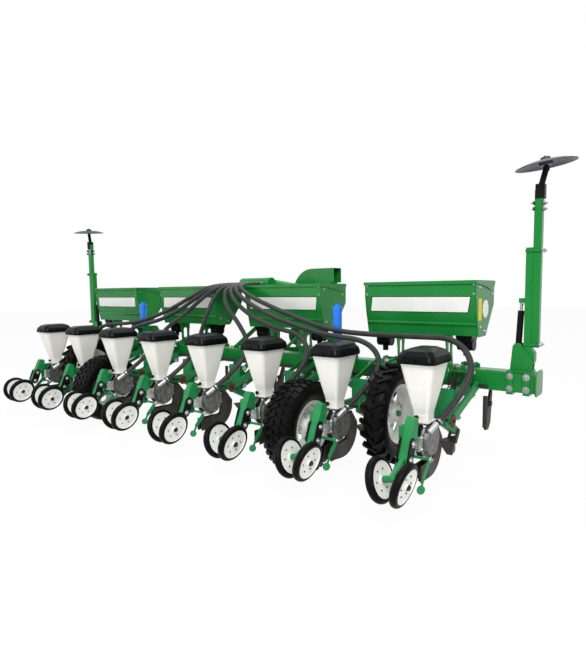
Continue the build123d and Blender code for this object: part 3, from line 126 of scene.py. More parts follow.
GREEN = surface("green_paint", (0.004, 0.180, 0.024), (0.008, 0.222, 0.038), 2.5, (0.22, 0.36),
                coat=0.10, gloss=0.2)
PALE_GREEN = surface("green_casting", (0.008, 0.195, 0.050), (0.018, 0.250, 0.078), 9.0, (0.35, 0.55),
                     gloss=0.25, grain=160.0, bump=0.25)
BLACK_PAINT = surface("black_paint", (0.004, 0.004, 0.005), (0.008, 0.008, 0.008), 6.0, (0.3, 0.5),
                      gloss=0.08)
CREAM = surface("cream_plastic", (0.80, 0.79, 0.73), (0.86, 0.85, 0.80), 4.0, (0.35, 0.5),
                grain=420.0, bump=0.05)
BLACK_PLASTIC = surface("black_plastic", (0.002, 0.0025, 0.003), (0.004, 0.0045, 0.005), 5.0, (0.15, 0.25),
                        gloss=0.08, grain=700.0, bump=0.10)
RUBBER = surface("rubber", (0.002, 0.002, 0.002), (0.005, 0.0045, 0.0045), 8.0, (0.3, 0.5),
                 gloss=0.07, grain=240.0, bump=0.3)
HOSE = surface("hose_rubber", (0.022, 0.024, 0.024), (0.036, 0.038, 0.038), 7.0, (0.3, 0.45),
               gloss=0.2, grain=500.0)
WHITE = surface("white_paint", (0.80, 0.80, 0.76), (0.86, 0.86, 0.83), 6.0, (0.3, 0.45), coat=0.2)
YELLOW = surface("yellow_paint", (0.78, 0.62, 0.010), (0.84, 0.70, 0.020), 8.0, (0.35, 0.5), gloss=0.2)
BLUE = surface("blue_paint", (0.010, 0.180, 0.780), (0.018, 0.230, 0.880), 6.0, (0.2, 0.35),
               coat=0.2, gloss=0.3)
ALLOY = surface("cast_alloy", (0.36, 0.38, 0.37), (0.66, 0.68, 0.66), 26.0, (0.28, 0.45),
                metallic=0.85, grain=260.0, bump=0.4)
DARK_ALLOY = surface("dark_alloy", (0.08, 0.082, 0.08), (0.22, 0.225, 0.22), 30.0, (0.35, 0.55),
                     metallic=0.7, grain=260.0, bump=0.5)
# A plain brown for the centre of each row's sprocket
SPROCKET_BROWN = surface("brown_sprocket", (0.085, 0.026, 0.014), (0.150, 0.060, 0.032), 24.0, (0.5, 0.7),
               metallic=0.3, gloss=0.2)
STEEL = surface("bright_steel", (0.36, 0.37, 0.38), (0.52, 0.52, 0.52), 20.0, (0.25, 0.45), metallic=1.0)
DISC_STEEL = surface("disc_steel", (0.024, 0.030, 0.045), (0.040, 0.048, 0.068), 9.0, (0.3, 0.45),
                     metallic=0.5, gloss=0.3)
WORN_STEEL = surface("worn_steel", (0.022, 0.020, 0.018), (0.055, 0.046, 0.038), 12.0, (0.4, 0.6),
                     metallic=0.4, gloss=0.2, grain=200.0, bump=0.3)

# What each node is made of, by the start of its name
FINISH = {
    "toolbar": GREEN, "bar_brackets": GREEN, "headstock": GREEN, "unit_links": GREEN,
    "unit_frames": PALE_GREEN, "seed_meters": ALLOY, "seed_hoppers": CREAM, "seed_lid": BLACK_PLASTIC,
    "soil_openers": WORN_STEEL, "drive_shafts": WORN_STEEL, "wheel_arms": GREEN, "lift_cylinders": BLUE,
    "fertilizer_hoppers": GREEN, "fertilizer_lid": GREEN, "fertilizer_meters": BLACK_PLASTIC,
    "hopper_stands": GREEN, "fan_housing": GREEN, "vacuum_hoses": HOSE, "press_wheel": RUBBER,
    "transport_tyre": RUBBER, "transport_rim": WHITE, "drive_tyre": RUBBER, "drive_rim": WHITE,
    "marker_arm": GREEN, "marker_disc": DISC_STEEL, "marker_barrel": BLACK_PAINT, "marker_rod": STEEL,
}


def paint(mesh, material):
    """Leaves a mesh with one material."""
    mesh.materials.clear()
    mesh.materials.append(material)


for name, node in nodes.items():
    start = max((key for key in FINISH if name.startswith(key)), key=len)
    paint(node.data, FINISH[start])

# Press wheels: the pressed disc inside the rubber band is white
PRESS_X = 0.078
PRESS_Y = -1.287
PRESS_Z = 0.1446
PRESS_CANT = radians(15)
PRESS_DISC_R = 0.112


def press_place(row, side):
    """Centre of a press wheel and the way its axle points."""
    centre = machine(ROW_X[row] + side * PRESS_X, PRESS_Y, PRESS_Z)
    return centre, Vector((side * cos(PRESS_CANT), 0, -sin(PRESS_CANT)))


for row in range(ROWS):
    for side_name, side in SIDES.items():
        mesh = nodes[f"press_wheel_{row + 1}_{side_name}"].data
        mesh.materials.append(WHITE)
        centre, way = press_place(row, side)
        for face in mesh.polygons:
            out = face.center - centre
            if (out - way * out.dot(way)).length < PRESS_DISC_R:
                face.material_index = 1

# Seed meters: a black flange, a dark cover on it, and a cream seat under the hopper's neck
METER = (-0.812, 0.298)
METER_FLANGE_R = 0.1235
METER_SEAT = (0.118, 0.134)
FLANGE_SIDE = (-0.005, 0.027)
FLANGE_TOP = 0.115
FLANGE_BACK = -0.139
COVER_SIDE = (0.027, 0.063)
mesh = nodes["seed_meters"].data
for material in (BLACK_PAINT, DARK_ALLOY, CREAM):
    mesh.materials.append(material)
for face in mesh.polygons:
    x, y, z = face.center - machine(0, *METER)
    across = min((x - row_x for row_x in ROW_X), key=abs)
    out = Vector((y, z)).length
    on_flange = FLANGE_SIDE[0] < across < FLANGE_SIDE[1] and abs(z) < FLANGE_TOP and y > FLANGE_BACK
    if METER_SEAT[0] < z < METER_SEAT[1]:
        face.material_index = 3
    elif on_flange and out > METER_FLANGE_R:
        face.material_index = 1
    elif COVER_SIDE[0] < across < COVER_SIDE[1] and out < METER_FLANGE_R:
        face.material_index = 2

# Row drives: green chain guard and brown sprocket on the dark shaft
GUARD_SIDE = (0.103, 0.1265)
SPROCKET_SIDE = GUARD_SIDE[1] + 0.009
mesh = nodes["drive_shafts"].data
mesh.materials.append(PALE_GREEN)
mesh.materials.append(SPROCKET_BROWN)
for face in mesh.polygons:
    across = min((face.center.x - row_x for row_x in ROW_X), key=abs)
    if GUARD_SIDE[0] < across < GUARD_SIDE[1]:
        face.material_index = 1
    elif GUARD_SIDE[1] < across < SPROCKET_SIDE:
        face.material_index = 2

# Row markers: the head that carries the disc's spindle is black
MARKER_HEAD_Z = 1.918
for side_name in SIDES:
    mesh = nodes[f"marker_arm_{side_name}"].data
    mesh.materials.append(BLACK_PAINT)
    for face in mesh.polygons:
        if min(mesh.vertices[k].co.z for k in face.vertices) > MARKER_HEAD_Z + LIFT:
            face.material_index = 1


# Small helpers for added pieces
SHARP_EDGE = radians(35)


def side_outline(points):
    """Outline points (y, z) of the machine's own frame, in the part's frame."""
    return [(y + BAR_Y, z + LIFT) for y, z in points]


def piece(name, mesh, material, body):
    """A mesh as an object of its own that rides on a body."""
    made = bpy.data.objects.new(name, mesh)
    bpy.context.scene.collection.objects.link(made)
    paint(mesh, material)
    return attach(made, body)


def mesh_of(name, shape):
    """A bmesh as a mesh with smooth faces and sharp edges over 35 degrees."""
    mesh = bpy.data.meshes.new(name)
    shape.to_mesh(mesh)
    shape.free()
    for face in mesh.polygons:
        face.use_smooth = True
    mesh.set_sharp_from_angle(angle=SHARP_EDGE)
    return mesh


def aligned(place, way):
    """A matrix that puts local +Z along a way, at a place."""
    return Matrix.Translation(place) @ Vector(way).to_track_quat("Z", "Y").to_matrix().to_4x4()


def add_turned(shape, matrix, profile, segments=24):
    """Turns a profile of (radius, height) points about local Z."""
    rings = []
    for radius, height in profile:
        ring = [shape.verts.new(matrix @ Vector((radius * cos(2 * pi * k / segments),
                                                 radius * sin(2 * pi * k / segments), height)))
                for k in range(segments)]
        rings.append(ring)
    for low, high in zip(rings, rings[1:]):
        for k in range(segments):
            shape.faces.new((low[k], low[(k + 1) % segments], high[(k + 1) % segments], high[k]))
    shape.faces.new(reversed(rings[0]))
    shape.faces.new(rings[-1])


# Profiles of a bolt: shares of its size across the flats, and heights
BOLT_WASHER = ((0.95, 0), (0.95, 0.0025))
BOLT_HEAD = ((0.58, 0.002), (0.58, 0.009), (0.48, 0.011))
BOLT_END = ((0.3, 0.010), (0.3, 0.016), (0.22, 0.018))
FRAME_NUT = 0.026
PIN_NUT = 0.024
COVERER_NUT = 0.022
SPLICE_NUT = 0.020
SMALL_NUT = 0.015
SHEET_SCREW = 0.012
METER_SCREW = 0.011
BACK_SCREW = 0.009


def add_bolt(shape, place, way, size):
    """A washer, a hexagon head with a chamfered top, and the thread's end."""
    matrix = aligned(place, way)
    for profile, segments in ((BOLT_WASHER, 20), (BOLT_HEAD, 6), (BOLT_END, 12)):
        add_turned(shape, matrix, [(size * share, height) for share, height in profile], segments)


def add_plate(shape, outline, x_low, x_high):
    """A flat plate with an outline of (y, z) points, between two places in X."""
    left, right = [[shape.verts.new((x, y, z)) for y, z in outline] for x in (x_low, x_high)]
    count = len(outline)
    for k in range(count):
        shape.faces.new((left[k], left[(k + 1) % count], right[(k + 1) % count], right[k]))
    shape.faces.new(reversed(left))
    shape.faces.new(right)


def stadium(start, end, radius, steps=10):
    """The outline of a link with round ends about two points, as (y, z) points."""
    first, last = Vector(start), Vector(end)
    along = (last - first).normalized()
    side = Vector((-along.y, along.x))
    points = []
    for middle, way in ((last, along), (first, -along)):
        for k in range(steps + 1):
            turn = pi * k / steps - pi / 2
            points.append(middle + (way * cos(turn) + (side if way == along else -side) * sin(turn)) * radius)
    return [(point.x, point.y) for point in points]


def add_tube(shape, points, radius, segments):
    """A round bar along points, mitred where it turns."""
    places = [Vector(point) for point in points]
    rings = []
    for k, place in enumerate(places):
        before = (place - places[k - 1]).normalized() if k else None
        after = (places[k + 1] - place).normalized() if k + 1 < len(places) else None
        way = ((before or after) + (after or before)).normalized()
        turn = way.to_track_quat("Z", "Y")
        rings.append([shape.verts.new(place + turn @ Vector((radius * cos(2 * pi * j / segments),
                                                             radius * sin(2 * pi * j / segments), 0)))
                      for j in range(segments)])
    for low, high in zip(rings, rings[1:]):
        for j in range(segments):
            shape.faces.new((low[j], low[(j + 1) % segments], high[(j + 1) % segments], high[j]))
    shape.faces.new(reversed(rings[0]))
    shape.faces.new(rings[-1])


def on_rows(name, shape, material, round_edges=0.0):
    """One mesh, drawn for a row at X = 0, set on every row of the frame."""
    mesh = mesh_of(name, shape)
    for row, x in enumerate(ROW_X, start=1):
        made = piece(f"{name}_{row}", mesh, material, "frame")
        made.matrix_world = Matrix.Translation((x, 0, 0))
        if round_edges:
            bevel = made.modifiers.new("round_edges", "BEVEL")
            bevel.width = round_edges
            bevel.segments = 2
            bevel.limit_method = "ANGLE"


# Vacuum hoses: each route's inner points, from the manifold to the row
HOSE_R = 0.022
HOSE_START_Y = 0.154
HOSE_LEAD = 0.380
HOSE_DROP = 0.250
MANIFOLD_Z = 1.370
SPIGOT_PITCH = 0.046
SPIGOT_AT = Vector((0.078, -0.864, 0.390))
SPIGOT_WAY = Vector((0.30, 0.78, 0.55)).normalized()
SPIGOT_LENGTH = 0.046
HOSE_MIDDLES = [
    [(-0.400, -0.312, 1.255), (-0.700, -0.322, 1.130), (-1.030, -0.330, 1.020), (-1.380, -0.345, 0.940),
     (-1.740, -0.345, 0.905), (-2.060, -0.380, 0.890), (-2.236, -0.475, 0.740)],
    [(-0.320, -0.345, 1.230), (-0.580, -0.365, 1.090), (-0.880, -0.378, 0.985), (-1.180, -0.395, 0.920),
     (-1.440, -0.410, 0.865), (-1.558, -0.490, 0.715)],
    [(-0.230, -0.372, 1.210), (-0.450, -0.405, 1.040), (-0.690, -0.420, 0.930), (-0.842, -0.480, 0.765)],
    [(-0.050, -0.385, 1.180), (-0.090, -0.460, 0.960), (-0.135, -0.505, 0.760)],
    [(0.130, -0.385, 1.180), (0.380, -0.430, 0.985), (0.560, -0.460, 0.770)],
    [(0.235, -0.365, 1.210), (0.530, -0.392, 1.040), (0.850, -0.405, 0.945), (1.110, -0.410, 0.910),
     (1.262, -0.470, 0.760)],
    [(0.315, -0.345, 1.235), (0.640, -0.358, 1.090), (1.000, -0.368, 0.985), (1.400, -0.395, 0.905),
     (1.770, -0.400, 0.890), (1.958, -0.470, 0.740)],
    [(0.390, -0.312, 1.255), (0.740, -0.318, 1.130), (1.080, -0.326, 1.025), (1.420, -0.345, 0.945),
     (1.800, -0.348, 0.930), (2.180, -0.342, 0.930), (2.490, -0.350, 0.935), (2.662, -0.460, 0.765)],
]


def spigot_mouth(row):
    """The mouth of a row's hose spigot, in the machine's own frame."""
    return SPIGOT_AT + SPIGOT_WAY * SPIGOT_LENGTH + Vector((ROW_X[row], 0, 0))


for row, middles in enumerate(HOSE_MIDDLES):
    x = (row - MIDDLE_ROW) * SPIGOT_PITCH
    mouth = spigot_mouth(row)
    route = [(x, HOSE_START_Y, MANIFOLD_Z), (x, HOSE_START_Y - HOSE_LEAD, MANIFOLD_Z), *middles,
             mouth + SPIGOT_WAY * HOSE_DROP, mouth]
    curve = bpy.data.curves.new(f"vacuum_hose_{row + 1}", "CURVE")
    curve.dimensions = "3D"
    curve.bevel_depth = HOSE_R
    curve.bevel_resolution = 5
    curve.resolution_u = 10
    spline = curve.splines.new("NURBS")
    spline.points.add(len(route) - 1)
    for point, place in zip(spline.points, route):
        point.co = (*machine(*place), 1)
    spline.order_u = 3
    spline.use_endpoint_u = True
    hose = bpy.data.objects.new(f"vacuum_hose_{row + 1}", curve)
    bpy.context.scene.collection.objects.link(hose)
    curve.materials.append(HOSE)
    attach(hose, "frame")
    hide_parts("vacuum_hoses")

# Press wheels: bolt heads on both faces of the disc, and a washer and nut on the outer end of the axle
PRESS_HALF = 0.025
PRESS_WEB = PRESS_HALF - 0.0102
PRESS_HUB = PRESS_HALF + 0.004
PRESS_BOLTS = 6
PRESS_BOLT_CIRCLE = 0.066
PRESS_BOLT = [(0.0058, 0), (0.0058, 0.003), (0.004, 0.005)]
HUB_WASHER = [(0.021, 0), (0.021, 0.003), (0.019, 0.004)]
HUB_NUT = [(0.015, 0.003), (0.015, 0.013), (0.012, 0.015)]
for row in range(ROWS):
    for side_name, side in SIDES.items():
        centre, way = press_place(row, side)
        across = Vector((0, 1, 0))
        upward = way.cross(across)
        shape = bmesh.new()
        for face_way in (way, -way):
            for k in range(PRESS_BOLTS):
                turn = 2 * pi * k / PRESS_BOLTS
                out = (across * cos(turn) + upward * sin(turn)) * PRESS_BOLT_CIRCLE
                add_turned(shape, aligned(centre + out + face_way * PRESS_WEB, face_way), PRESS_BOLT, 10)
        hub = centre + way * PRESS_HUB
        add_turned(shape, aligned(hub, way), HUB_WASHER, 20)
        add_turned(shape, aligned(hub, way), HUB_NUT, 6)
        body = f"press_wheel_{row + 1}_{side_name}"
        piece(f"press_rivets_{row + 1}_{side_name}", mesh_of("press_rivets", shape), WORN_STEEL, body)

# Fertilizer hoppers: a blank white panel with a dark edge on the slanted back of each
PANEL_LOW = Vector((0, -0.1490, 1.114))
PANEL_HIGH = Vector((0, -0.1690, 1.230))
PANEL_HALF = 0.410
PANEL_SLANT = 0.012
PANEL_SINK = 0.001
PANEL_LAYERS = (("panel_edges", BLACK_PAINT, 0.006, 0.0008), ("panels", WHITE, 0.0, 0.0016))


def add_panel(shape, x, edge, lift):
    """A thin panel with slanted ends on the back of a hopper, larger by an edge and lifted off the sheet."""
    rise = PANEL_HIGH - PANEL_LOW
    along = rise.normalized()
    out = Vector((0, -along.z, along.y))
    half = PANEL_HALF + edge
    top = rise.length + edge
    corners = ((-half - PANEL_SLANT, -edge), (half - PANEL_SLANT, -edge),
               (half + PANEL_SLANT, top), (-half + PANEL_SLANT, top))

    def corner(u, v, depth):
        return shape.verts.new(machine(x, 0, 0) + PANEL_LOW + Vector((u, 0, 0)) + along * v + out * depth)

    back = [corner(u, v, -PANEL_SINK) for u, v in corners]
    front = [corner(u, v, lift) for u, v in corners]
    for k in range(4):
        shape.faces.new((back[k], back[(k + 1) % 4], front[(k + 1) % 4], front[k]))
    shape.faces.new(reversed(back))
    shape.faces.new(front)


for name, material, edge, lift in PANEL_LAYERS:
    shape = bmesh.new()
    for x in BIN_X:
        add_panel(shape, x, edge, lift)
    bmesh.ops.recalc_face_normals(shape, faces=shape.faces)
    piece(name, mesh_of(name, shape), material, "frame")

# Bare plates on the outer end of the right-hand hopper
HOPPER_HALF = 0.468
END_X = BIN_X[-1] + HOPPER_HALF
THIN = 0.001
YELLOW_PLATE = ((-0.118, 1.050), (-0.046, 1.050), (-0.046, 1.215), (-0.118, 1.215))
ROUND_PLATE = (0.050, 1.135)
ROUND_PLATE_R = 0.070
shape = bmesh.new()
add_plate(shape, side_outline(YELLOW_PLATE), END_X, END_X + THIN)
piece("yellow_plate", mesh_of("yellow_plate", shape), YELLOW, "frame")
shape = bmesh.new()
matrix = aligned(machine(END_X, *ROUND_PLATE), (1, 0, 0))
add_turned(shape, matrix, [(ROUND_PLATE_R, 0), (ROUND_PLATE_R, THIN)], 40)
piece("round_plate", mesh_of("round_plate", shape), WHITE, "frame")

# Folded rail along the back of each fertilizer hopper, and screws at the edges of its sheets
RAIL = ((-0.124, 1.032), (-0.138, 1.034), (-0.140, 1.020), (-0.128, 1.004), (-0.120, 1.002))
RAIL_HALF = 0.460
BACK_SCREW_X = 0.448
BACK_SCREWS = ((-0.170, 1.322), (-0.170, 1.252))
END_SCREWS = ((-0.120, 1.300), (0.190, 1.250), (-0.085, 1.000), (0.020, 0.965))
rails = bmesh.new()
screws = bmesh.new()
for x in BIN_X:
    add_plate(rails, side_outline(RAIL), x - RAIL_HALF, x + RAIL_HALF)
    for side in SIDES.values():
        for y, z in BACK_SCREWS:
            add_bolt(screws, machine(x + side * BACK_SCREW_X, y, z), (0, -1, 0), BACK_SCREW)
        for y, z in END_SCREWS:
            add_bolt(screws, machine(x + side * HOPPER_HALF, y, z), (side, 0, 0), SHEET_SCREW)
bmesh.ops.recalc_face_normals(rails, faces=rails.faces)
piece("hopper_rails", mesh_of("hopper_rails", rails), GREEN, "frame")
piece("hopper_screws", mesh_of("hopper_screws", screws), STEEL, "frame")

# Nuts of the row clamps, on the back and front of the bar
CLAMP_NUT_X = 0.045
CLAMP_NUT_Y = 0.087
CLAMP_NUT_Z = (0.518, 0.686)
shape = bmesh.new()
for x in ROW_X:
    for across in (-CLAMP_NUT_X, CLAMP_NUT_X):
        for height in CLAMP_NUT_Z:
            add_bolt(shape, machine(x + across, -CLAMP_NUT_Y, height), (0, -1, 0), FRAME_NUT)
            add_bolt(shape, machine(x + across, CLAMP_NUT_Y, height), (0, 1, 0), FRAME_NUT)
piece("clamp_nuts", mesh_of("clamp_nuts", shape), STEEL, "frame")

# Row dress: side plates of the press arm, with their bolts
ARM_SIDE = 0.0303
PLATE_THICK = 0.012
PLATE_R = 0.038
PLATE_EDGE = 0.002
PLATE_PINS = ((-1.078, 0.330), (-1.112, 0.238))
shape = bmesh.new()
bolts = bmesh.new()
for side in SIDES.values():
    inner, outer = side * ARM_SIDE, side * (ARM_SIDE + PLATE_THICK)
    add_plate(shape, side_outline(stadium(*PLATE_PINS, PLATE_R)), min(inner, outer), max(inner, outer))
    for y, z in PLATE_PINS:
        add_bolt(bolts, machine(outer, y, z), (side, 0, 0), PIN_NUT)
on_rows("arm_plates", shape, BLACK_PAINT, PLATE_EDGE)

# Row dress: bolts of the links and coverers, nuts round the meter's flange and screws on its back
LINK_SIDE = 0.091
LINK_PINS = ((-0.125, 0.655), (-0.125, 0.485), (-0.430, 0.545), (-0.430, 0.375))
COVERER_SIDE = 0.104
COVERER_PIN = (-0.962, 0.214)
FLANGE_NUTS = 10
FLANGE_NUT_CIRCLE = 0.126
FLANGE_FACE = 0.026
METER_BACK = METER[0] - 0.160
METER_SCREW_X = (-0.016, 0.026)
METER_SCREW_Z = (0.262, 0.340)
for side in SIDES.values():
    for y, z in LINK_PINS:
        add_bolt(bolts, machine(side * LINK_SIDE, y, z), (side, 0, 0), FRAME_NUT)
    add_bolt(bolts, machine(side * COVERER_SIDE, *COVERER_PIN), (side, 0, 0), COVERER_NUT)
for k in range(FLANGE_NUTS):
    turn = 2 * pi * (k + 0.5) / FLANGE_NUTS
    y = METER[0] + FLANGE_NUT_CIRCLE * cos(turn)
    z = METER[1] + FLANGE_NUT_CIRCLE * sin(turn)
    add_bolt(bolts, machine(FLANGE_FACE, y, z), (1, 0, 0), SMALL_NUT)
for across in METER_SCREW_X:
    for height in METER_SCREW_Z:
        add_bolt(bolts, machine(across, METER_BACK, height), (0, -1, 0), METER_SCREW)
on_rows("row_bolts", bolts, STEEL)

# Row dress: coil springs across the links, in dark worn steel; their darkness is partly painted shade,
# standing in for the shaded space between the links
SPRING = ((-0.150, 0.640), (-0.405, 0.392))
SPRING_X = 0.040
SPRING_TURNS = 16
SPRING_R = 0.019
SPRING_WIRE_R = 0.0042
TURN_STEPS = 10
shape = bmesh.new()
for side in SIDES.values():
    start, end = [machine(side * SPRING_X, y, z) for y, z in SPRING]
    matrix = aligned(start, end - start)
    steps = SPRING_TURNS * TURN_STEPS
    coil = []
    for k in range(steps + 1):
        turn = 2 * pi * k / TURN_STEPS
        coil.append((SPRING_R * cos(turn), SPRING_R * sin(turn), (end - start).length * k / steps))
    add_tube(shape, [matrix @ Vector(point) for point in coil], SPRING_WIRE_R, 6)
on_rows("link_springs", shape, WORN_STEEL)

# Row dress: knob on the hopper's neck
KNOB_AT = (-0.022, -0.884, 0.454)
KNOB = [(0.009, 0), (0.009, 0.006), (0.015, 0.008), (0.015, 0.018), (0.012, 0.021)]
shape = bmesh.new()
add_turned(shape, aligned(machine(*KNOB_AT), (0, -1, 0)), KNOB)
on_rows("neck_knobs", shape, BLACK_PLASTIC)

# Band clamps of the hoses, at the meters and at the manifold
BAND_R = (HOSE_R + 0.0003, HOSE_R + 0.0022)
BAND_HALF = 0.006
BAND_SETBACK = 0.020
BAND = [(BAND_R[0], -BAND_HALF), (BAND_R[1], -BAND_HALF), (BAND_R[1], BAND_HALF), (BAND_R[0], BAND_HALF)]
shape = bmesh.new()
for row in range(ROWS):
    end = machine(*(spigot_mouth(row) + SPIGOT_WAY * BAND_SETBACK))
    add_turned(shape, aligned(end, SPIGOT_WAY), BAND)
    start = machine((row - MIDDLE_ROW) * SPIGOT_PITCH, HOSE_START_Y - BAND_SETBACK, MANIFOLD_Z)
    add_turned(shape, aligned(start, (0, -1, 0)), BAND)
piece("hose_bands", mesh_of("hose_bands", shape), STEEL, "frame")

# Row markers: clamp plates under the head, nuts of the splice clamps and of the clamps on the bar
EXTENSION_FACES = (2.909, 2.967)
CLAMP_THICK = 0.006
CLAMP_HALF = (0.040, 0.011)
CLAMP_CORNERS = ((-1, -0.6), (-0.8, -1), (0.8, -1), (1, -0.6), (1, 0.6), (0.8, 1), (-0.8, 1), (-1, 0.6))
CLAMP_BOLT_Y = 0.032
HEAD_CLAMPS = (1.850, 1.890)
SPLICE_FACE = 2.975
SPLICE_BOLT_Y = 0.034
SPLICE_Z = (0.884, 1.558)
BASE_NUT_X = (2.792, 2.906)
BASE_NUT_Y = 0.089
BASE_NUT_Z = (0.556, 0.648)
for side_name, side in SIDES.items():
    plates = bmesh.new()
    shape = bmesh.new()
    inner_end = side * EXTENSION_FACES[0]
    outer_end = side * (EXTENSION_FACES[1] + CLAMP_THICK)
    for height in HEAD_CLAMPS:
        outline = [(BAR_Y + y * CLAMP_HALF[0], LIFT + height + z * CLAMP_HALF[1]) for y, z in CLAMP_CORNERS]
        for x in EXTENSION_FACES:
            near, far = sorted((side * x, side * (x + CLAMP_THICK)))
            add_plate(plates, outline, near, far)
        for across in (-CLAMP_BOLT_Y, CLAMP_BOLT_Y):
            add_bolt(shape, machine(inner_end, across, height), (-side, 0, 0), SMALL_NUT)
            add_bolt(shape, machine(outer_end, across, height), (side, 0, 0), SMALL_NUT)
    for height in SPLICE_Z:
        for across in (-SPLICE_BOLT_Y, SPLICE_BOLT_Y):
            add_bolt(shape, machine(side * SPLICE_FACE, across, height), (side, 0, 0), SPLICE_NUT)
    body = f"marker_arm_{side_name}"
    piece(f"head_clamps_{side_name}", mesh_of("head_clamps", plates), BLACK_PAINT, body)
    piece(f"splice_nuts_{side_name}", mesh_of("splice_nuts", shape), STEEL, body)
    shape = bmesh.new()
    for x in BASE_NUT_X:
        for height in BASE_NUT_Z:
            add_bolt(shape, machine(side * x, -BASE_NUT_Y, height), (0, -1, 0), FRAME_NUT)
            add_bolt(shape, machine(side * x, BASE_NUT_Y, height), (0, 1, 0), FRAME_NUT)
    piece(f"base_nuts_{side_name}", mesh_of("base_nuts", shape), STEEL, "frame")

# Transport tyres: a smooth carcass, and four rings of slanted blocks on it
TYRE = {"x": 1.4, "y": -0.770, "z": 0.212, "radius": 0.372, "half": 0.135,
        "rim": 0.207, "lip": 0.099, "tread": 0.113}
BEAD_OUT = (0.004, 0.008)
SEAT_IN = (0.005, 0.0127)
SHOULDER_DROP = 0.014
CROWN_DROP = 0.012
TREAD_DEPTH = 0.011
TREAD_PITCHES = 34
BLOCK_WIDTH = 1.25 * pi / TREAD_PITCHES
BLOCK_ROOT = 0.004
BLOCK_TOP = 0.86
BLOCK_SLANT = 1.1
TREAD_RINGS = ((-0.115, -0.064), (-0.056, -0.004), (0.004, 0.056), (0.064, 0.115))


def arc(first, middle, last, steps):
    """Points of the circular arc through three points, without the first."""
    a, b, c = Vector(first), Vector(middle), Vector(last)
    turn = 2 * (a.x * (b.y - c.y) + b.x * (c.y - a.y) + c.x * (a.y - b.y))
    squares = [point.length_squared for point in (a, b, c)]
    centre = Vector(((squares[0] * (b.y - c.y) + squares[1] * (c.y - a.y) + squares[2] * (a.y - b.y)) / turn,
                     (squares[0] * (c.x - b.x) + squares[1] * (a.x - c.x) + squares[2] * (b.x - a.x)) / turn))
    start = a - centre
    sweep = start.angle_signed(b - centre) + (b - centre).angle_signed(c - centre)
    return [centre + Matrix.Rotation(-sweep * k / steps, 2) @ start for k in range(1, steps + 1)]


def add_wheel_turned(shape, section, segments=96):
    """Turns a closed section of (x, radius) points about the X axis."""
    rings = [[shape.verts.new((x, radius * cos(2 * pi * k / segments), radius * sin(2 * pi * k / segments)))
              for x, radius in section] for k in range(segments)]
    count = len(section)
    for ring, after in zip(rings, rings[1:] + rings[:1]):
        for k in range(count):
            shape.faces.new((ring[k], ring[(k + 1) % count], after[(k + 1) % count], after[k]))


def add_tread_block(shape, x_low, x_high, turn):
    """A block on the tread from one X to another, slanted as a chevron, narrower at its top."""
    corners = []
    for share, sink in ((1.0, TREAD_DEPTH + BLOCK_ROOT), (BLOCK_TOP, 0.0)):
        for x, edge in ((x_low, -1), (x_high, -1), (x_high, 1), (x_low, 1)):
            angle = turn + edge * BLOCK_WIDTH / 2 * share + abs(x) * BLOCK_SLANT
            radius = TYRE["radius"] - CROWN_DROP * (x / TYRE["tread"]) ** 2 - sink
            corners.append(shape.verts.new((x, radius * cos(angle), radius * sin(angle))))
    for quad in ((3, 2, 1, 0), (4, 5, 6, 7), (0, 1, 5, 4), (1, 2, 6, 5), (2, 3, 7, 6), (3, 0, 4, 7)):
        shape.faces.new([corners[k] for k in quad])


bead = (TYRE["lip"] + BEAD_OUT[0], TYRE["rim"] + BEAD_OUT[1])
shoulder = (TYRE["tread"], TYRE["radius"] - SHOULDER_DROP - TREAD_DEPTH)
seat = (TYRE["lip"] - SEAT_IN[0], TYRE["rim"] - SEAT_IN[1])
bulge = (TYRE["half"], (TYRE["rim"] + TYRE["radius"]) / 2)
flank = [Vector(seat), Vector(bead), *arc(bead, bulge, shoulder, 10)]
crown = arc(shoulder, (0, TYRE["radius"] - TREAD_DEPTH), (-shoulder[0], shoulder[1]), 10)
section = [tuple(point) for point in flank + crown] + [(-point.x, point.y) for point in reversed(flank[:-1])]
for side_name, side in SIDES.items():
    shape = bmesh.new()
    add_wheel_turned(shape, section)
    for number, (x_low, x_high) in enumerate(TREAD_RINGS):
        for k in range(TREAD_PITCHES):
            turn = 2 * pi * (k + 0.5 * (number % 2)) / TREAD_PITCHES
            add_tread_block(shape, x_low, x_high, turn)
    bmesh.ops.recalc_face_normals(shape, faces=shape.faces)
    shape.transform(Matrix.Translation(machine(side * TYRE["x"], TYRE["y"], TYRE["z"])))
    body = f"transport_wheel_{side_name}"
    tyre = piece(f"tread_tyre_{side_name}", mesh_of("tread_tyre", shape), RUBBER, body)
    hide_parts(f"transport_tyre_{side_name}")

# Carrying wheels: nuts on the dish of each rim
WHEELS = {
    "transport": (TYRE["x"], TYRE["y"], TYRE["z"], TYRE["lip"]),
    "drive": (2.1, -0.560, 0.372, 0.052),
}
DISH_DEPTH = 0.056
WHEEL_NUTS = 5
WHEEL_NUT_CIRCLE = 0.092
for kind, (x, y, z, lip) in WHEELS.items():
    for side_name, side in SIDES.items():
        shape = bmesh.new()
        for k in range(WHEEL_NUTS):
            turn = 2 * pi * (k + 0.5) / WHEEL_NUTS
            place = machine(side * (x + lip - DISH_DEPTH), y + WHEEL_NUT_CIRCLE * cos(turn),
                            z + WHEEL_NUT_CIRCLE * sin(turn))
            add_bolt(shape, place, (side, 0, 0), FRAME_NUT)
        piece(f"{kind}_nuts_{side_name}", mesh_of("wheel_nuts", shape), STEEL, f"{kind}_wheel_{side_name}")

# Floor, light and camera
FLOOR_HALF = 40.0
FLOOR_DROP = 0.0005
FLOOR_WHITE = 0.95
floor_shape = bmesh.new()
bmesh.ops.create_grid(floor_shape, x_segments=1, y_segments=1, size=FLOOR_HALF)
floor = bpy.data.objects.new("floor", bpy.data.meshes.new("floor"))
floor_shape.to_mesh(floor.data)
floor_shape.free()
floor.location.z = -FLOOR_DROP
bpy.context.scene.collection.objects.link(floor)


